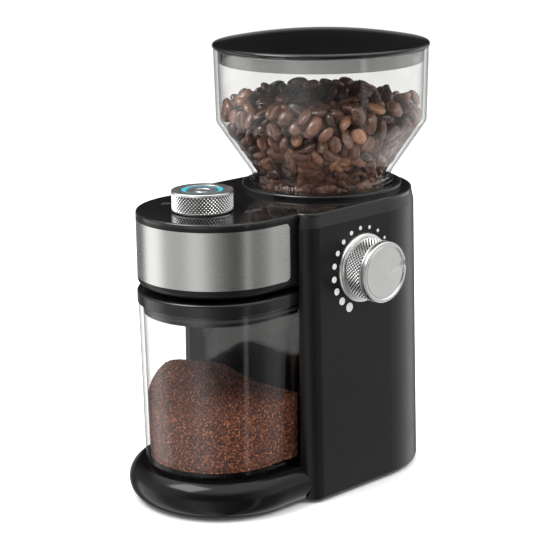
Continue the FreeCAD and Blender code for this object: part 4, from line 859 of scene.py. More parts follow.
def knurled(radius: float, low: float, high: float, cells: int, depth: float,
            per_cell: int = 6) -> Array:
    """Radii of a crossed diagonal knurl on an even grid of angle and height.

    Two sets of grooves cross: with a and b the parts after the decimal point of
    cells * turn + h / pitch and cells * turn - h / pitch, and tent(t) = 1 - |2 t - 1|, the
    radius is R - depth * (1 - min(1, KNURL_FLANK * min(tent(a), tent(b)))).

    Args:
        radius: radius over the points.
        low: height where the knurl starts.
        high: height where it ends.
        cells: points round the turn.
        depth: depth of the grooves.
        per_cell: samples across a point.

    Returns:
        Rows x columns x 2 of (radius, height), one row for each angle.
    """
    pitch = TURN * radius / cells
    rows = max(2, round((high - low) / pitch * per_cell))
    turn = np.linspace(0.0, 1.0, cells * per_cell + 1)[:, None]
    height = np.linspace(low, high, rows + 1)[None, :]
    a = (cells * turn + (height - low) / pitch) % 1.0
    b = (cells * turn - (height - low) / pitch) % 1.0
    tent = np.minimum(1 - np.abs(2 * a - 1), 1 - np.abs(2 * b - 1))
    fade = np.clip(np.minimum(height - low, high - height) / KNURL_FADE, 0.0, 1.0)
    r = radius - depth * (1 - np.minimum(1.0, KNURL_FLANK * tent)) * fade
    return np.stack([r, np.broadcast_to(height, r.shape)], -1)


def knurl_grid(before: Array, band: Array, after: Array, centre: Sequence[float],
               axis: Axis = Axis.Z) -> tuple[Array, Array]:
    """Closed turned surface with a knurled band between two plain stretches of profile.

    Returns:
        The grid of points, and how deep each lies in the knurl's grooves, from 0 to 1.
    """
    rows = band.shape[0]
    angle = np.linspace(0.0, TURN, rows)[:, None]
    plain = [np.broadcast_to(part[None], (rows, *part.shape)) for part in (before, after)]
    profile = np.concatenate([plain[0], band, plain[1]], axis=1)
    # groove depth goes out as tone, which the knurled finish turns into painted shade
    groove = np.zeros(profile.shape[:2])
    top = band[..., 0].max()
    start = before.shape[0]
    groove[:, start:start + band.shape[1]] = (top - band[..., 0]) / np.ptp(band[..., 0])
    return about_axis(profile[..., 0], profile[..., 1], angle, centre, axis), groove


# ================================================================ hopper and lid
@dataclass
class Hopper:
    """Clear bean hopper with its twist lugs; heights follow its CAD box."""

    wall: float = 2.2
    taper: float = 0.9
    bowl_h: float = 41.1
    cone_h: float = 29.8
    neck_r: float = 38.5
    flange_r: float = 41.0
    throat_r: float = 15.0
    foot_flare: float = 0.9
    inner_corner: float = 1.22
    flange_drop: float = 5.0
    lug_reach: float = 3.1
    lug_h: float = 2.4
    lug_z: float = 1.8
    lug_arc_deg: float = 16.0
    lug_starts_deg: tuple[float, ...] = (40.0, 160.0, 280.0)
    low: Array = field(init=False)
    high: Array = field(init=False)
    centre: Array = field(init=False)

    def __post_init__(self) -> None:
        """Reads the hopper's box."""
        self.low, self.high = node_box("hopper")
        self.centre = (self.low + self.high) / 2

    @property
    def rim_r(self) -> float:
        """Outer radius at the rim."""
        return float(self.high[0] - self.low[0]) / 2

    @property
    def bowl_z(self) -> float:
        """Height where the bowl meets its cone."""
        return float(self.high[2]) - self.bowl_h

    @property
    def cone_z(self) -> float:
        """Height of the cone's foot."""
        return self.bowl_z - self.cone_h

    def inner_radius(self, z: Array) -> Array:
        """Radius of the hollow at a height: neck, then cone, then bowl, by straight lines."""
        foot = self.neck_r + self.foot_flare
        return np.interp(z, [self.low[2], self.cone_z - 2.0, self.cone_z + 0.6,
                             self.bowl_z + 1.0, self.high[2]],
                         [self.neck_r - self.wall, self.neck_r - self.wall,
                          foot - self.wall * self.inner_corner, self.rim_r - self.taper - self.wall,
                          self.rim_r - self.wall])

    def build(self) -> None:
        """Makes the hopper from one closed profile, with three lugs."""
        z0, z1 = float(self.low[2]), float(self.high[2])
        w, neck, rim = self.wall, self.neck_r, self.rim_r
        low_r, foot_r = rim - self.taper, self.neck_r + self.foot_flare
        flange_z = self.cone_z - self.flange_drop
        profile = softened([
            (self.throat_r, z0, 0.3), (self.throat_r + w, z0, 0.3),
            (self.throat_r + w, z0 + 1.2, 0.2), (neck - w, z0 + 6.4, 1.0),
            (neck - w, z0, 0.3), (neck, z0, 0.4), (neck, flange_z, 0.1),
            (self.flange_r, flange_z, 0.35), (self.flange_r, flange_z + 1.6, 0.5),
            (foot_r, flange_z + 2.2, 0.6), (foot_r, self.cone_z, 3.0),
            (low_r, self.bowl_z, 0.9), (rim, z1, 0.5), (rim - w, z1, 0.5),
            (low_r - w, self.bowl_z + 1.0, 0.9),
            (foot_r - w * self.inner_corner, self.cone_z + 0.6, 2.0),
            (neck - w, self.cone_z - 2.0, 1.0), (neck - w, z0 + 8.8, 1.0),
            (self.throat_r, z0 + 3.0, 0.6),
        ], closed=True, steps=6)
        mesher = Mesher().add(turned(profile, self.centre, 160))
        for start in self.lug_starts_deg:
            mesher.add(self._lug(start, z0 + self.lug_z))
        mesher.build("hopper_shell", CLEAR, "hopper", Slot.CLEAR_PLASTIC, ("hopper",))

    def _lug(self, start_deg: float, z: float) -> Array:
        """One locking lug: a softened block swept through a short arc."""
        root, tip = self.neck_r - 0.5, self.neck_r + self.lug_reach
        block = softened([(root, z, 0.1), (tip, z, 0.5), (tip, z + self.lug_h, 0.5),
                          (root, z + self.lug_h, 0.1)], closed=True, steps=3)
        angles = np.radians(start_deg + np.linspace(0.0, self.lug_arc_deg, 9))
        return swept_block(block, angles, self.centre)


@dataclass
class HopperLid:
    """Domed gloss lid with the clear skirt that centres it in the bowl."""

    dome: float = 6.0
    edge: float = 2.7
    wall: float = 2.2
    skirt_wall: float = 2.0
    catch_deg: float = -118.0
    catch_proud: float = 0.35

    def build(self) -> None:
        """Makes the lid, its skirt and the skirt's small catch."""
        centre, radius, z0, z1 = turned_box("hopper_lid")
        edge_r = radius - 1.0
        ball = (edge_r ** 2 + self.dome ** 2) / (2 * self.dome)
        across = np.linspace(0.0, edge_r - 0.6, 40)
        top = np.stack([across, z1 - ball + np.sqrt(ball ** 2 - across ** 2)], -1)
        rim = softened([(float(top[-1, 0]), float(top[-1, 1]), 0.0),
                        (radius - 0.25, z0 + self.edge - 0.3, 0.9), (radius, z0 + 1.0, 0.6),
                        (radius - 0.8, z0, 0.5), (radius - 4.0, z0, 0.2)], steps=6)
        _, skirt_r, s0, s1 = turned_box("lid_skirt")
        inner = skirt_r - self.skirt_wall - 1.0
        under = np.linspace(inner, 0.0, 24)
        roof = np.stack([under, z1 - ball + np.sqrt((ball - self.wall) ** 2 - under ** 2)], -1)
        step = np.array([[inner, z0]])
        profile = np.vstack([top, rim, step, roof])
        Mesher().add(turned(profile, centre, 160)).build(
            "lid_dome", LID_BLACK, "lid", Slot.BLACK_GLOSS, ("hopper_lid",))
        ring = softened([(skirt_r - self.skirt_wall, s1, 0.0), (skirt_r, s1, 0.0),
                         (skirt_r, s0, 0.5), (skirt_r - self.skirt_wall, s0, 0.5)],
                        closed=True, steps=5)
        Mesher().add(turned(ring, centre, 128)).build(
            "skirt_ring", SKIRT, "lid", Slot.SMOKE_PLASTIC, ("lid_skirt",))
        self._catch(centre, skirt_r, s1)

    def _catch(self, centre: Array, skirt_r: float, z1: float) -> None:
        """Small T-shaped catch moulded on the skirt: a bar over a stem, both softened."""
        middle = math.radians(self.catch_deg)
        back, front = skirt_r - 0.2, skirt_r + self.catch_proud
        mesher = Mesher()
        for half_w, low, high in ((2.3, z1 - 3.6, z1 - 2.2), (0.9, z1 - 6.2, z1 - 3.4)):
            block = softened([(back, low, 0.2), (front, low, 0.2), (front, high, 0.2),
                              (back, high, 0.2)], closed=True, steps=3)
            half = half_w / skirt_r
            mesher.add(swept_block(block, middle + np.linspace(-half, half, 7), centre))
        mesher.build("skirt_catch", HOUSING, "lid", Slot.BLACK_SATIN)


# ================================================================ beans
@dataclass
class BeanBed:
    """Roasted beans that fill the hopper's neck, cone and lower bowl."""

    hopper: Hopper
    count: int = 1540
    level: float = 228.0
    length: float = 12.3
    width: float = 8.5
    height: float = 7.1
    grain_r: float = 3.95
    steps: int = 160
    recheck: int = 5
    quick_share: int = 6
    fall: float = 0.45
    creep: float = 0.05
    stiffness: float = 0.45
    neighbour_room: float = 2.5
    wall_gap: float = 0.35
    floor_lift: float = 3.5
    pour_over: float = 14.0
    keep_over: float = 6.0
    fullness: float = 0.85
    flat_side: float = 0.62
    furrow: float = 0.9
    furrow_w: float = 0.32
    sizes: tuple[float, float] = (0.88, 1.06)
    seed: int = 11

    def _settle(self) -> tuple[Array, Array]:
        """Lets the beans fall into the hopper.

        A bean is two balls on a stiff bar.  Each step lowers the balls a little, pushes
        apart every pair nearer than two radii along their line by half the overlap, brings
        balls outside the hollow back to its wall, and restores each bar's length.

        Returns:
            The beans' centres and the directions of their bars.
        """
        rng = np.random.default_rng(self.seed)
        r, half = self.grain_r, (self.length - 2 * self.grain_r) / 2
        floor = float(self.hopper.low[2]) + self.floor_lift
        top = self.level + self.pour_over
        share = np.linspace(0.0, 1.0, 400)
        z_all = floor + r + share * (top - floor - r)
        area = (self.hopper.inner_radius(z_all) - r) ** 2
        z = np.interp(rng.random(self.count), np.cumsum(area) / area.sum(), z_all)
        reach = (self.hopper.inner_radius(z) - r) * np.sqrt(rng.random(self.count))
        angle = rng.random(self.count) * TURN
        centre = np.stack([reach * np.cos(angle), reach * np.sin(angle), z], -1)
        bar = rng.normal(size=(self.count, 3))
        bar /= np.linalg.norm(bar, axis=1, keepdims=True)
        ball = np.concatenate([centre - bar * half, centre + bar * half]).astype(np.float32)
        n = self.count
        own = np.concatenate([np.arange(n), np.arange(n)])
        steps = self.steps
        for step in range(steps):
            ball[:, 2] -= self.fall * (1.0 - step / steps) + self.creep
            if step % self.recheck == 0:
                close, other = self._near(ball, own, 2 * r + self.neighbour_room)
            gap = ball[close] - ball[other]
            apart = np.linalg.norm(gap, axis=1) + 1e-6
            touch = apart < 2 * r
            first, second, apart = close[touch], other[touch], apart[touch]
            push = gap[touch] * (0.5 * (2 * r - apart) / apart)[:, None]
            shift = np.zeros_like(ball)
            hits = np.zeros(len(ball), np.float32)
            np.add.at(shift, first, push)
            np.subtract.at(shift, second, push)
            np.add.at(hits, first, 1.0)
            np.add.at(hits, second, 1.0)
            ball += shift / np.maximum(1.0, hits * self.stiffness)[:, None]
            self._hold(ball, r, floor)
            middle, bar = (ball[:n] + ball[n:]) / 2, ball[n:] - ball[:n]
            bar *= half / np.maximum(np.linalg.norm(bar, axis=1, keepdims=True), 1e-6)
            ball = np.concatenate([middle - bar, middle + bar])
        self._hold(ball, r, floor)
        middle, bar = (ball[:n] + ball[n:]) / 2, ball[n:] - ball[:n]
        return middle, bar / np.linalg.norm(bar, axis=1, keepdims=True)

    @staticmethod
    def _near(ball: Array, own: Array, reach: float) -> tuple[Array, Array]:
        """Pairs of balls nearer than reach that belong to different beans.

        |p - q|^2 = |p|^2 + |q|^2 - 2 p . q, for all pairs at once.
        """
        square = (ball ** 2).sum(1)
        distance = square[:, None] + square[None, :] - 2.0 * (ball @ ball.T)
        first, second = np.nonzero(np.triu(distance < reach * reach, 1))
        keep = own[first] != own[second]
        return first[keep], second[keep]

    def _hold(self, ball: Array, r: float, floor: float) -> None:
        """Brings balls back inside the hollow: across to its wall, and up to its floor."""
        wall = (self.hopper.inner_radius(ball[:, 2]) - r - self.wall_gap).astype(np.float32)
        across = np.linalg.norm(ball[:, :2], axis=1) + 1e-6
        ball[:, :2] *= np.minimum(1.0, wall / across)[:, None]
        ball[:, 2] = np.maximum(ball[:, 2], floor + r * 0.8)

    def _shape(self, around: int = 10, along: int = 7) -> tuple[Array, Array, Array]:
        """One bean lying along X with its flat side down.

        At girth angle a and length angle b, with s = sin(b) ^ fullness, x = L/2 cos b,
        y = W/2 s sin a and z = H/2 s cos a; below the middle z is made flatter, and a furrow
        is pressed in there.

        Returns:
            Points, quads, and UV as (girth, length).
        """
        a = np.linspace(0.0, TURN, around + 1)[:, None]
        b = np.linspace(0.0, math.pi, along + 1)[None, :]
        x = self.length / 2 * np.cos(b) * np.ones_like(a)
        y = self.width / 2 * np.sin(b) ** self.fullness * np.sin(a)
        z = self.height / 2 * np.sin(b) ** self.fullness * np.cos(a)
        z = np.where(z < 0, z * self.flat_side, z)
        z = z + self.furrow * np.sin(b) * np.exp(-((a - math.pi) / self.furrow_w) ** 2)
        points = np.stack([x, y, z], -1).reshape(-1, 3)
        index = np.arange((around + 1) * (along + 1)).reshape(around + 1, along + 1)
        quads = np.stack([index[:-1, :-1], index[:-1, 1:], index[1:, 1:], index[1:, :-1]],
                         -1).reshape(-1, 4)
        u = (a / TURN) * np.ones_like(b)
        v = (b / math.pi) * np.ones_like(a)
        return points, quads, np.stack([u, v], -1).reshape(-1, 2)

    def build(self) -> None:
        """Makes the whole bed as one piece, every bean turned and sized at random."""
        centre, bar = self._settle()
        keep = centre[:, 2] < self.level + self.keep_over
        centre, bar = centre[keep], bar[keep]
        n = len(centre)
        rng = np.random.default_rng(self.seed + 1)
        side = np.cross(bar, rng.normal(size=(n, 3)))
        side /= np.linalg.norm(side, axis=1, keepdims=True)
        third = np.cross(bar, side)
        points, quads, uv = self._shape()
        size = rng.uniform(*self.sizes, (n, 1, 3)) * points[None]
        turn = np.stack([bar, side, third], 1)
        placed = np.einsum("nki,nij->nkj", size, turn) + centre[:, None, :]
        placed += np.array([self.hopper.centre[0], self.hopper.centre[1], 0.0])
        count = len(points)
        faces = (quads[None] + (np.arange(n) * count)[:, None, None]).reshape(-1, 4)
        tone = np.repeat(np.clip(rng.beta(2.2, 2.6, n), 0, 1), count)
        flat = placed.reshape(-1, 3)
        a, b, c = (flat[faces[:, k]] for k in range(3))
        if np.einsum("ij,ij->i", a - flat.mean(0), np.cross(b - a, c - a)).sum() < 0:
            faces = faces[:, ::-1]
        Mesher().add_faces(flat, faces, np.tile(uv, (n, 1)), tone).build(
            "coffee_beans", BEANS, "hopper", crease_deg=80.0)


# ================================================================ jar and grounds
@dataclass
class Jar:
    """Clear grounds jar: a round front, straight sides and a flat back."""

    wall: float = 2.4
    floor: float = 3.0
    taper: float = 1.5
    corner: float = 5.0
    foot_soft: float = 2.0
    rim_soft: float = 0.5
    lip: float = 0.15
    floor_soft: float = 2.0
    panel_depth: float = 0.8
    panel_half_w: float = 8.0
    panel_back: float = 9.1
    panel_drop: float = 5.3
    panel_margin: float = 9.2
    panel_corner: float = 3.0
    panel_soft: float = 0.9
    heart_back: float = 2.0
    low: Array = field(init=False)
    high: Array = field(init=False)

    def __post_init__(self) -> None:
        """Reads the jar's box."""
        self.low, self.high = node_box("jar")

    @property
    def radius(self) -> float:
        """Outer radius of the round front, at the rim."""
        return float(self.high[0] - self.low[0]) / 2

    @property
    def centre(self) -> Array:
        """Centre of the round front, in plan."""
        return np.array([(self.low[0] + self.high[0]) / 2, self.low[1] + self.radius])

    @property
    def heart(self) -> Array:
        """Middle of the whole plan, where floors close."""
        return self.centre + np.array([0.0, self.heart_back])

    def inset(self, z: Array) -> Array:
        """How much the drafted wall has drawn in at a height."""
        share = (self.high[2] - z) / (self.high[2] - self.low[2])
        return self.taper * share

    def outline(self, inset: float, round_n: int = 64, side_n: int = 44, corner_n: int = 12,
                back_n: int = 8) -> Array:
        """Plan of the jar drawn in by an inset, walked round from the back's middle.

        Half of it is a straight back, a quarter circle at the corner, a straight side and a
        quarter of the round front; the other half is its mirror image.

        Args:
            inset: distance that the plan is drawn in.
            round_n: points on each half of the round front.
            side_n: points on a straight side.
            corner_n: points on a corner.
            back_n: points on each half of the back.

        Returns:
            Rows of (x, y), the first repeated at the end.
        """
        r, c = self.radius - inset, max(0.6, self.corner - inset)
        back = float(self.high[1] - self.centre[1]) - inset
        quarter = np.linspace(0.0, math.pi / 2, corner_n)
        side = np.linspace(back - c, 0.0, side_n)
        front = np.linspace(0.0, math.pi / 2, round_n)
        half = np.vstack([
            np.stack([np.linspace(0.0, r - c, back_n), np.full(back_n, back)], -1),
            np.stack([r - c + c * np.sin(quarter), back - c + c * np.cos(quarter)], -1)[1:],
            np.stack([np.full(side_n, r), side], -1)[1:],
            np.stack([r * np.cos(front), -r * np.sin(front)], -1)[1:],
        ])
        whole = np.vstack([half, half[-2::-1] * np.array([-1.0, 1.0])])
        return whole + self.centre

    def carry(self, profile: Iterable[tuple[float, float]]) -> Array:
        """Carries (inset, height) pairs round the plan; an inset under nought is its middle."""
        rows = []
        for inset, z in profile:
            ring = self.outline(max(inset, 0.0))
            if inset < 0:
                ring = np.broadcast_to(self.heart, ring.shape)
            rows.append(np.column_stack([ring, np.full(len(ring), z)]))
        return np.stack(rows)

    def build(self) -> None:
        """Makes the jar: outside, rim, inside and floor in one closed surface."""
        z0, z1 = float(self.low[2]), float(self.high[2])
        wall, soft, lip = self.wall, self.rim_soft, self.lip
        heights = np.linspace(z0 + self.foot_soft, z1 - soft, 120)
        foot = np.linspace(0.0, math.pi / 2, 6)
        outer = [(-1.0, z0), (self.taper + 8.0, z0)]
        outer += [(self.taper + self.foot_soft * (1 - math.sin(t)),
                   z0 + self.foot_soft * (1 - math.cos(t))) for t in foot]
        outer += [(float(self.inset(z)), float(z)) for z in heights]
        rim = [(lip, z1 - lip), (soft, z1), (wall - soft, z1), (wall - lip, z1 - lip),
               (wall, z1 - soft)]
        floor = z0 + self.floor
        inner = [(wall + float(self.inset(z)), float(z))
                 for z in np.linspace(z1 - 2 * soft, floor + self.floor_soft, 24)]
        inner += [(wall + self.taper + 0.6, floor + 0.6),
                  (wall + self.taper + self.floor_soft, floor), (-1.0, floor)]
        grid = self.carry(outer + rim + inner)
        grid[:len(outer)] = self._press_panels(grid[:len(outer)])
        Mesher().add(grid).build("jar_shell", JAR_CLEAR, "jar", Slot.CLEAR_PLASTIC, ("jar",))

    def _press_panels(self, grid: Array) -> Array:
        """Presses a shallow rounded panel into each side: x moves in by depth * mask.

        The mask comes from the distance to a rounded rectangle in the side's plane.
        """
        middle = np.array([self.centre[1] + self.panel_back,
                           (self.low[2] + self.high[2]) / 2 - self.panel_drop])
        half = np.array([self.panel_half_w,
                         (self.high[2] - self.low[2]) / 2 - self.panel_margin])
        q = np.abs(grid[..., 1:] - middle) - half + self.panel_corner
        outside = np.linalg.norm(np.maximum(q, 0.0), axis=-1)
        distance = outside + np.minimum(q.max(-1), 0.0) - self.panel_corner
        depth = self.panel_depth * smooth_mask(distance, self.panel_soft)
        moved = grid.copy()
        moved[..., 0] -= np.sign(grid[..., 0] - self.centre[0]) * depth
        return moved


@dataclass
class GroundsHeap:
    """Ground coffee heaped in the jar, higher on the far side under the spout."""

    jar: Jar
    clearance: float = 0.25
    level: float = 59.5
    peak: float = 10.5
    spread: float = 17.0
    front_slope: float = 0.12
    peak_at: tuple[float, float] = (-27.0, -1.0)
    rough: float = 0.55
    swell: float = 0.7
    ripple: float = 0.4
    rim_inset: float = 0.7
    side_gap: float = 0.05
    top_start: float = 0.985
    edge_crumbs: float = 0.6
    seed: int = 5

    def _height(self, x: Array, y: Array) -> Array:
        """Level + peak * exp(-d^2 / 2 spread^2) about the peak, falling towards the front.

        Two long waves, swell and ripple high, keep the rest from being a plain slope.
        """
        px, py = self.jar.centre + np.array(self.peak_at)
        d2 = (x - px) ** 2 + (y - py) ** 2
        waves = (self.swell * np.sin(x * 0.13 + 1.0) * np.cos(y * 0.11)
                 + self.ripple * np.sin(y * 0.21))
        fall = self.front_slope * np.minimum(y - py, 0.0)
        return self.level + self.peak * np.exp(-d2 / (2 * self.spread ** 2)) + waves + fall

    def build(self) -> None:
        """Makes the heap: floor, side and crumbly top in one closed surface."""
        jar = self.jar
        z0 = float(jar.low[2]) + jar.floor + self.clearance
        gap = jar.wall + self.clearance
        heart = jar.heart
        rng = np.random.default_rng(self.seed)
        rim = jar.outline(gap + self.rim_inset)
        sides = []
        for share in np.linspace(0.0, 1.0, 40):
            base = z0 + share * (self._height(rim[:, 0], rim[:, 1]) - z0)
            ring = jar.outline(gap + float(jar.inset(np.array(base.mean()))) + self.side_gap)
            sides.append(np.column_stack([ring, base]))
        edge = sides[-1][:, :2]
        tops = []
        for share in np.linspace(self.top_start, 0.0, 70):
            flat = heart + (edge - heart) * share
            tops.append(np.column_stack([flat, self._height(flat[:, 0], flat[:, 1])]))
        top = np.stack(tops)
        crumbs = rng.normal(0.0, self.rough, top.shape[:2])
        crumbs[:, -1] = crumbs[:, 0]
        crumbs[-1] = 0.0
        top[..., 2] += crumbs * np.linspace(self.edge_crumbs, 1.0, len(top))[:, None]
        bottom = np.column_stack([np.broadcast_to(heart, edge.shape), np.full(len(edge), z0)])
        grid = np.concatenate([bottom[None], np.stack(sides), top])
        Mesher().add(grid).build("ground_coffee", GROUNDS, "jar", crease_deg=80.0)


# ================================================================ knob and dial
@dataclass
class StartKnob:
    """Knurled knob with a light ring and the start button in its middle."""

    height: float = 11.3
    stem_r: float = 3.0
    bore_r: float = 1.4
    button_r: float = 9.0
    light_w: float = 2.2
    web_h: float = 4.0
    well_gap: float = 0.1
    wall: float = 2.2
    foot_h: float = 1.5
    land_low: float = 1.0
    land_high: float = 1.5
    button_gap: float = 1.8
    cells: int = 52
    knurl_depth: float = 0.85

    def build(self) -> None:
        """Makes the knob, its light ring and the button."""
        centre, radius, stem_z, top = turned_box("start_knob")
        foot = top - self.height
        web, sole, inside = foot + self.web_h, foot + self.foot_h, radius - self.wall
        well = self.button_r + self.light_w + self.well_gap
        before = softened([(self.bore_r, web, 0.0), (self.bore_r, stem_z, 0.1),
                           (self.stem_r, stem_z, 0.3), (self.stem_r, sole, 0.2),
                           (inside, sole, 0.2), (inside, foot, 0.2),
                           (radius - 0.1, foot, 0.35), (radius, foot + self.land_low, 0.1)],
                          steps=4)
        band = knurled(radius, foot + self.land_low, top - self.land_high, self.cells,
                       self.knurl_depth)
        after = softened([(radius, top - self.land_high, 0.1), (radius, top - 0.1, 0.5),
                          (radius - 1.2, top, 0.5), (well, top, 0.25), (well, web, 0.1),
                          (self.bore_r, web, 0.0)], steps=4)
        Mesher().add(*knurl_grid(before, band, after, centre)).build(
            "knurled_start_knob", KNURL, "knob", Slot.SATIN_METAL, ("start_knob",))
        self._light(centre)
        self._button(centre, web + self.button_gap)

    def _light(self, centre: Array) -> None:
        """Light ring with a softly crowned top."""
        *_, z0, z1 = turned_box("light_ring")
        r0, r1 = self.button_r + 0.15, self.button_r + self.light_w
        ring = softened([(r0, z0, 0.1), (r1, z0, 0.1), (r1, z1, 0.4), (r0, z1, 0.4)],
                        closed=True, steps=5)
        glow = LightRing("cyan_light_ring", tuple(float(c) * MM for c in centre))
        Mesher().add(turned(ring, centre, 96)).build(
            "glowing_ring", glow, "knob", Slot.CYAN_LIGHT, ("light_ring",))

    def _button(self, centre: Array, skirt: float) -> None:
        """Button with a shallow dish and a ring-shaped groove in its face."""
        *_, z0, z1 = turned_box("start_button")
        r, bore = self.button_r, self.bore_r - 0.08
        face = softened([(r, skirt, 0.1), (r, z1, 0.6), (r - 1.6, z1, 0.2), (5.1, z1 - 0.15, 0.1),
                         (4.9, z1 - 0.45, 0.1), (4.3, z1 - 0.45, 0.1), (4.1, z1 - 0.15, 0.1),
                         (0.0, z1 - 0.25, 0.0)], steps=4)
        under = softened([(0.0, z0, 0.0), (bore, z0, 0.2), (bore, skirt + 2.0, 0.2),
                          (r - 1.5, skirt + 2.0, 0.2), (r - 1.5, skirt, 0.1), (r, skirt, 0.0)],
                         steps=3)
        Mesher().add(turned(np.vstack([under, face]), centre, 96)).build(
            "start_push_button", SLOT_FINISH[Slot.BUTTON_GREY], "button", Slot.BUTTON_GREY,
            ("start_button",))


@dataclass
class GrindDial:
    """Grind dial on the machine's side: bezel, knurled barrel, cap and its printed scale."""

    cells: int = 50
    knurl_depth: float = 0.85
    shaft_r: float = 3.0
    rest_deg: float = -81.0
    rim_w: float = 1.8
    rim_step: float = 0.5
    groove_depth: float = 0.22
    pointer_half: float = 1.5
    pointer_start: float = 0.25
    pointer_depth: float = 1.1
    dot_fall: float = 0.6
    dot_ring_r: float = 22.8
    dots: int = 16
    dot_first_deg: float = 151.0
    dot_step_deg: float = 18.4
    dot_drop: float = 0.5
    dot_large: float = 2.6
    dot_small: float = 0.5

    def build(self) -> None:
        """Makes all the dial's pieces."""
        self._bezel()
        self._barrel()
        self._cap()
        self._scale()

    def _bezel(self) -> None:
        """Satin ring with a dished inner slope."""
        centre, r, x0, x1 = turned_box("dial_bezel", Axis.X)
        ring = softened([(6.0, x0, 0.1), (6.0, x1 - 1.2, 0.2), (r - 5.3, x1 - 1.2, 0.2),
                         (r - 3.1, x1 - 0.05, 0.35), (r, x1, 1.9), (r, x0, 0.1)],
                        closed=True, steps=5)
        Mesher().add(turned(ring, centre, 128, Axis.X)).build(
            "dial_ring", SATIN, "machine", Slot.SATIN_METAL, ("dial_bezel",))

    def _barrel(self) -> None:
        """Knurled barrel between two plain lands."""
        centre, r, x0, x1 = turned_box("dial_barrel", Axis.X)
        before = softened([(self.shaft_r, x0, 0.0), (r - 0.7, x0, 0.2), (r - 0.4, x0 + 0.6, 0.1)],
                          steps=3)
        band = knurled(r, x0 + 0.6, x1 - 0.5, self.cells, self.knurl_depth)
        after = softened([(r - 0.4, x1 - 0.5, 0.1), (r - 0.4, x1, 0.1), (self.shaft_r, x1, 0.0),
                          (self.shaft_r, x0, 0.0)], steps=3)
        Mesher().add(*knurl_grid(before, band, after, centre, Axis.X)).build(
            "knurled_dial_barrel", KNURL, "dial", Slot.SATIN_METAL, ("dial_barrel",))

    def _cap(self) -> None:
        """Cap face as a height over the disc: raised rim, groove and sunk pointer.

        Depth below the face = groove * mask(|r - groove_r|) + pointer * mask(box distance).
        """
        centre, r, x0, x1 = turned_box("dial_cap", Axis.X)
        rim = r - self.rim_w
        across = np.concatenate([np.linspace(0.0, rim - 1.2, 44),
                                 np.linspace(rim - 1.1, r - 0.9, 22),
                                 np.linspace(r - 0.8, r - 0.5, 3)])[None]
        angle = np.linspace(0.0, TURN, 289)[:, None]
        turn = math.radians(self.rest_deg)
        y, z = across * np.cos(angle), across * np.sin(angle)
        along = -y * math.sin(turn) + z * math.cos(turn)
        sideways = y * math.cos(turn) + z * math.sin(turn)
        q = np.maximum(np.abs(sideways) - self.pointer_half, r * self.pointer_start - along)
        face = x1 - self.rim_step * smooth_mask(across - rim, 0.45)
        face = face - self.groove_depth * smooth_mask(np.abs(across - rim + 0.55) - 0.25, 0.3)
        face = face - self.pointer_depth * smooth_mask(q, 0.4)
        edge = softened([(r - 0.45, x1 - 0.02, 0.0), (r, x1 - 0.45, 0.3), (r, x0 + 0.3, 0.2),
                         (r - 0.3, x0, 0.1), (0.0, x0, 0.0)], steps=5)[None]
        whole = np.concatenate([
            about_axis(across, face, angle, centre, Axis.X),
            about_axis(edge[..., 0], edge[..., 1], angle, centre, Axis.X)], axis=1)
        Mesher().add(whole).build("dial_face", SATIN, "dial", Slot.SATIN_METAL, ("dial_cap",))

    def _scale(self) -> None:
        """Printed dots, shrinking from coarse to fine, laid on the housing's drafted side."""
        centre, _, _, x1 = turned_box("dial_bezel", Axis.X)
        land = Landing("body_housing", Vector((-1.0, 0.0, 0.0)), x1 + 30.0)
        mesher = Mesher()
        for dot in range(self.dots):
            share = (dot / (self.dots - 1)) ** self.dot_fall
            radius = self.dot_large + (self.dot_small - self.dot_large) * share
            a = math.radians(self.dot_first_deg - self.dot_step_deg * dot)
            y = centre[1] - self.dot_ring_r * math.sin(a)
            z = centre[2] - self.dot_drop + self.dot_ring_r * math.cos(a)
            mesher.add(land.disc(y, z, radius))
        mesher.build("dial_scale_marks", INK, "machine")


@dataclass
class Landing:
    """Finds where a straight shot meets a CAD node, to lay printed marks on it."""

    node: str
    aim: Vector
    start: float
    probe: float = 0.5
    sunk: float = 0.3
    tree: BVHTree = field(init=False)

    def __post_init__(self) -> None:
        """Builds the search tree from the node's triangles."""
        mesh = frame["nodes"][self.node].data
        points = np.empty(len(mesh.vertices) * 3, np.float32)
        mesh.vertices.foreach_get("co", points)
        corners = [tuple(face.vertices) for face in mesh.polygons]
        self.tree = BVHTree.FromPolygons([tuple(p) for p in points.reshape(-1, 3)], corners)

    def reach(self, a: float, b: float) -> float:
        """Distance along the aim's axis at which the node's surface lies."""
        if abs(self.aim.x) > 0.5:
            origin = Vector((self.start, a, b))
        else:
            origin = Vector((a, b, self.start))
        hit = self.tree.ray_cast(origin * MM, self.aim)[0]
        if hit is None:
            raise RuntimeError(f"{self.node} has no surface at {a:.1f}, {b:.1f}")
        return (hit.x if abs(self.aim.x) > 0.5 else hit.z) / MM

    def disc(self, a: float, b: float, radius: float, thick: float = 0.12) -> Array:
        """A flat printed dot: a lens of revolution, tilted to the surface under it."""
        base = self.reach(a, b)
        h = self.probe
        tilt_a = (self.reach(a + h, b) - self.reach(a - h, b)) / (2 * h)
        tilt_b = (self.reach(a, b + h) - self.reach(a, b - h)) / (2 * h)
        profile = np.array([[0.0, thick], [radius * 0.9, thick], [radius, thick * 0.5],
                            [radius, -self.sunk], [0.0, -self.sunk]])
        angle = np.linspace(0.0, TURN, 33)[:, None]
        da, db = profile[:, 0] * np.cos(angle), profile[:, 0] * np.sin(angle)
        out = base + profile[None, :, 1] + da * tilt_a + db * tilt_b
        return self._place(a + da, b + db, out)

    def _place(self, a: Array, b: Array, out: Array) -> Array:
        """Puts the two in-plane coordinates and the height in their axes' order."""
        if abs(self.aim.x) > 0.5:
            return np.stack([out, a, b], -1)
        return np.stack([a, b, out], -1)


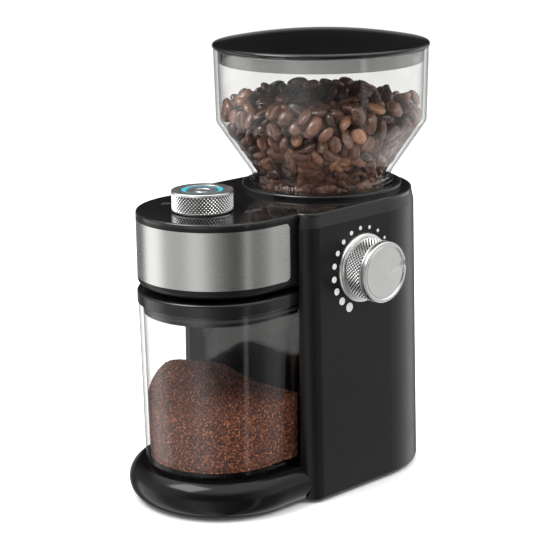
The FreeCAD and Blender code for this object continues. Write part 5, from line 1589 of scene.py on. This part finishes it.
@dataclass
class PlateMarks:
    """Faint printed marks round the start knob: two rings and a dot each."""

    ring_r: float = 27.5
    spacing: float = 5.4
    rings: tuple[tuple[float, float], ...] = ((2.1, 0.28), (1.2, 0.2))
    sunk: float = 0.1
    proud: float = 0.04
    dot_r: float = 0.35
    dot_away: float = 3.4
    places: tuple[tuple[float, int], ...] = ((184.0, 1), (-18.0, 1), (40.0, 2))

    def build(self) -> None:
        """Lays the marks on the top plate; places gives each bearing and how many stand there."""
        centre, _, _, top = turned_box("start_knob")
        land = Landing("top_plate", Vector((0.0, 0.0, -1.0)), top + 20.0)
        mesher = Mesher()
        for degrees, cups in self.places:
            a = math.radians(degrees)
            x = float(centre[0]) + self.ring_r * math.cos(a)
            y = float(centre[1]) + self.ring_r * math.sin(a)
            for step in range(cups):
                self._cup(mesher, land, x, y + (step - (cups - 1) / 2) * self.spacing)
        mesher.build("plate_marks", FAINT_INK, "machine")

    def _cup(self, mesher: Mesher, land: Landing, x: float, y: float) -> None:
        """A cup seen from above: two rings and a dot below them."""
        z = land.reach(x, y)
        foot, face = z - self.sunk, z + self.proud
        for radius, width in self.rings:
            outer = radius + width
            ring = np.array([[radius, foot], [outer, foot], [outer, face], [radius, face],
                             [radius, foot]])
            mesher.add(turned(ring, (x, y, 0.0), 32))
        mesher.add(land.disc(x, y - self.dot_away, self.dot_r, self.proud))


# ================================================================ carried-over pieces
class Bodywork:
    """CAD nodes that keep their shape and get a finish."""

    @staticmethod
    def dress() -> None:
        """Gives every CAD node the finish of its slot, or its own finish."""
        slots = {part["node"]: part["material_slot"] for part in frame["record"]["subparts"]}
        for name, node in frame["nodes"].items():
            if name in NODE_FINISH:
                finish = NODE_FINISH[name]
            else:
                finish = SLOT_FINISH.get(Slot(slots[name]), HOUSING)
            for slot in node.material_slots:
                slot.material = finish.material()
            log.info("%s is dressed in %s", name, finish.name)


# ================================================================ studio
@dataclass(frozen=True)
class Softbox:
    """Square soft lamp that hangs at a bearing, height and distance from the object."""

    name: str
    bearing_deg: float
    height_deg: float
    away: float
    size: float
    power: float
    gleams: bool = False


@dataclass
class Studio:
    """Camera, floor, soft light and the boards that the glossy parts mirror.

    A board is given by its bearing, in degrees to the right of the camera as seen from the
    object, and its brightness.  Low boards are mirrored by upright faces and high boards by
    level ones.
    """

    azimuth: float = 45.75
    elevation: float = 14.61
    roll: float = 0.75
    distance: float = 978.3
    lens: float = 114.9
    target: tuple[float, float, float] = (19.6, -21.35, -3.7)
    sky: float = 1.08
    low_boards: tuple[tuple[float, float], ...] = (
        (-180, 0.4), (-160, 0.3), (-138, 0.12), (-126, 0.3), (-116, 1.6), (-92, 1.6),
        (-76, 0.62), (-48, 0.6), (-34, 1.0), (-20, 0.95), (-8, 0.5), (6, 0.26), (20, 0.12),
        (32, 0.06), (42, 0.1), (44, 0.9), (48, 0.9), (50, 0.16), (70, 0.26), (83, 0.4),
        (94, 0.75), (112, 1.0), (128, 1.5), (142, 1.3), (152, 0.3), (165, 0.15), (180, 0.4))
    high_boards: tuple[tuple[float, float], ...] = (
        (-180, 0.015), (-150, 0.04), (-115, 0.5), (-95, 0.9), (-60, 0.8), (-38, 0.2), (-15, 0.05),
        (25, 0.05), (45, 0.5), (65, 1.0), (115, 1.0), (140, 0.4), (160, 0.04), (180, 0.015))
    overhead: float = 2.0
    floor_half_m: float = 9.0
    softboxes: tuple[Softbox, ...] = (
        Softbox("key_softbox", -62.0, 52.0, 900.0, 520.0, 7.0, gleams=True),
        Softbox("fill_softbox", 70.0, 42.0, 1000.0, 520.0, 4.0),
        Softbox("back_softbox", 170.0, 58.0, 1000.0, 600.0, 5.0))

    def build(self) -> None:
        """Sets up the view, the floor, the boards and the softboxes."""
        scene = bpy.context.scene
        scene.view_settings.view_transform = "Standard"
        scene.view_settings.look = "None"
        scene.cycles.transparent_max_bounces = 32
        self._camera(scene)
        self._floor()
        self._world(scene)
        for box in self.softboxes:
            self._lamp(box)

    def _camera(self, scene: bpy.types.Scene) -> None:
        """Camera that looks at the target from its bearing and height."""
        aim = self._middle() + Vector(self.target) * MM
        a, r = math.radians(self.azimuth), math.radians(self.roll)
        back = self._way(0.0, self.elevation)
        level = Vector((math.cos(a), math.sin(a), 0.0))
        rise = back.cross(level)
        right = math.cos(r) * level - math.sin(r) * rise
        up = math.sin(r) * level + math.cos(r) * rise
        data = bpy.data.cameras.new("camera")
        data.lens = self.lens
        data.sensor_width = 36.0
        data.clip_start, data.clip_end = 0.05, 40.0
        camera = bpy.data.objects.new("camera", data)
        camera.matrix_world = Matrix.Translation(aim + back * self.distance * MM) @ Matrix(
            (right, up, back)).transposed().to_4x4()
        scene.collection.objects.link(camera)
        scene.camera = camera

    def _floor(self) -> None:
        """Large level floor that gloss doesn't see, because the boards stand in for it."""
        size = self.floor_half_m
        mesh = bpy.data.meshes.new("studio_floor")
        mesh.from_pydata([(-size, -size, 0), (size, -size, 0), (size, size, 0), (-size, size, 0)],
                         [], [(0, 1, 2, 3)])
        mesh.materials.append(PaleFloor().material())
        floor = bpy.data.objects.new("studio_floor", mesh)
        bpy.context.scene.collection.objects.link(floor)
        floor.visible_glossy = False

    @staticmethod
    def _middle() -> Vector:
        """Middle of the CAD box."""
        low, high = CAD_BOX
        return (Vector(low) + Vector(high)) / 2

    def _way(self, bearing_deg: float, height_deg: float = 0.0) -> Vector:
        """Direction at a bearing to the right of the camera, seen from the object."""
        a, e = math.radians(self.azimuth + bearing_deg), math.radians(height_deg)
        return Vector((math.sin(a) * math.cos(e), -math.cos(a) * math.cos(e), math.sin(e)))

    def _world(self, scene: bpy.types.Scene) -> None:
        """Even sky for matt surfaces, white for the camera, boards for gloss.

        Two ramps over the bearing give the low and high boards; height picks between them.
        """
        world = bpy.data.worlds.new("studio")
        world.use_nodes = True
        world.cycles.sampling_method = "NONE"
        scene.world = world
        net = Net(world.node_tree)
        way = net.node("ShaderNodeSeparateXYZ", None,
                       {0: net.node("ShaderNodeTexCoord").outputs["Generated"]})
        x, y, z = (net.value(way.outputs[k]) for k in "XYZ")
        toward, right = self._way(0.0), self._way(90.0)
        bearing = (x * right[0] + y * right[1]).bearing(x * toward[0] + y * toward[1])
        share = bearing / TURN + 0.5
        low, high = (net.ramp(share, [((at + 180.0) / 360.0, (level / 2,) * 3)
                                      for at, level in boards])
                     for boards in (self.low_boards, self.high_boards))
        sides = net.value(net.blend(z.step(-0.08, 0.14), low, high)) * 2.0
        above = z.step(0.5, 0.85)
        total = sides * (1.0 - above) + above * self.overhead
        boards = net.node("ShaderNodeBackground", None, {"Strength": total})
        sky = net.node("ShaderNodeBackground", None, {"Strength": self.sky})
        white = net.node("ShaderNodeBackground", None, {"Strength": 1.0})
        for node in (boards, sky, white):
            node.inputs["Color"].default_value = (1.0, 1.0, 1.0, 1.0)
        ray = net.node("ShaderNodeLightPath")
        seen = net.mix(ray.outputs["Is Glossy Ray"], sky.outputs[0], boards.outputs[0])
        seen = net.mix(ray.outputs["Is Camera Ray"], seen, white.outputs[0])
        net.feed(net.node("ShaderNodeOutputWorld").inputs["Surface"], seen)

    def _lamp(self, box: Softbox) -> None:
        """Hangs a softbox aimed at the object's middle; one that gleams is seen in gloss."""
        way = self._way(box.bearing_deg, box.height_deg)
        data = bpy.data.lights.new(box.name, "AREA")
        data.shape = "SQUARE"
        data.size = box.size * MM
        data.energy = box.power
        lamp = bpy.data.objects.new(box.name, data)
        lamp.visible_glossy = box.gleams
        lamp.location = self._middle() + way * box.away * MM
        lamp.rotation_euler = way.to_track_quat("Z", "Y").to_euler()
        bpy.context.scene.collection.objects.link(lamp)


def main() -> None:
    """Builds the studio and every piece."""
    logging.basicConfig(level=logging.INFO, format="%(name)s: %(message)s")
    Studio().build()
    Bodywork.dress()
    hopper = Hopper()
    jar = Jar()
    for part in (hopper, HopperLid(), BeanBed(hopper), jar, GroundsHeap(jar), StartKnob(),
                 GrindDial(), PlateMarks()):
        log.info("building %s", type(part).__name__)
        part.build()


if __name__ == "__main__":
    main()
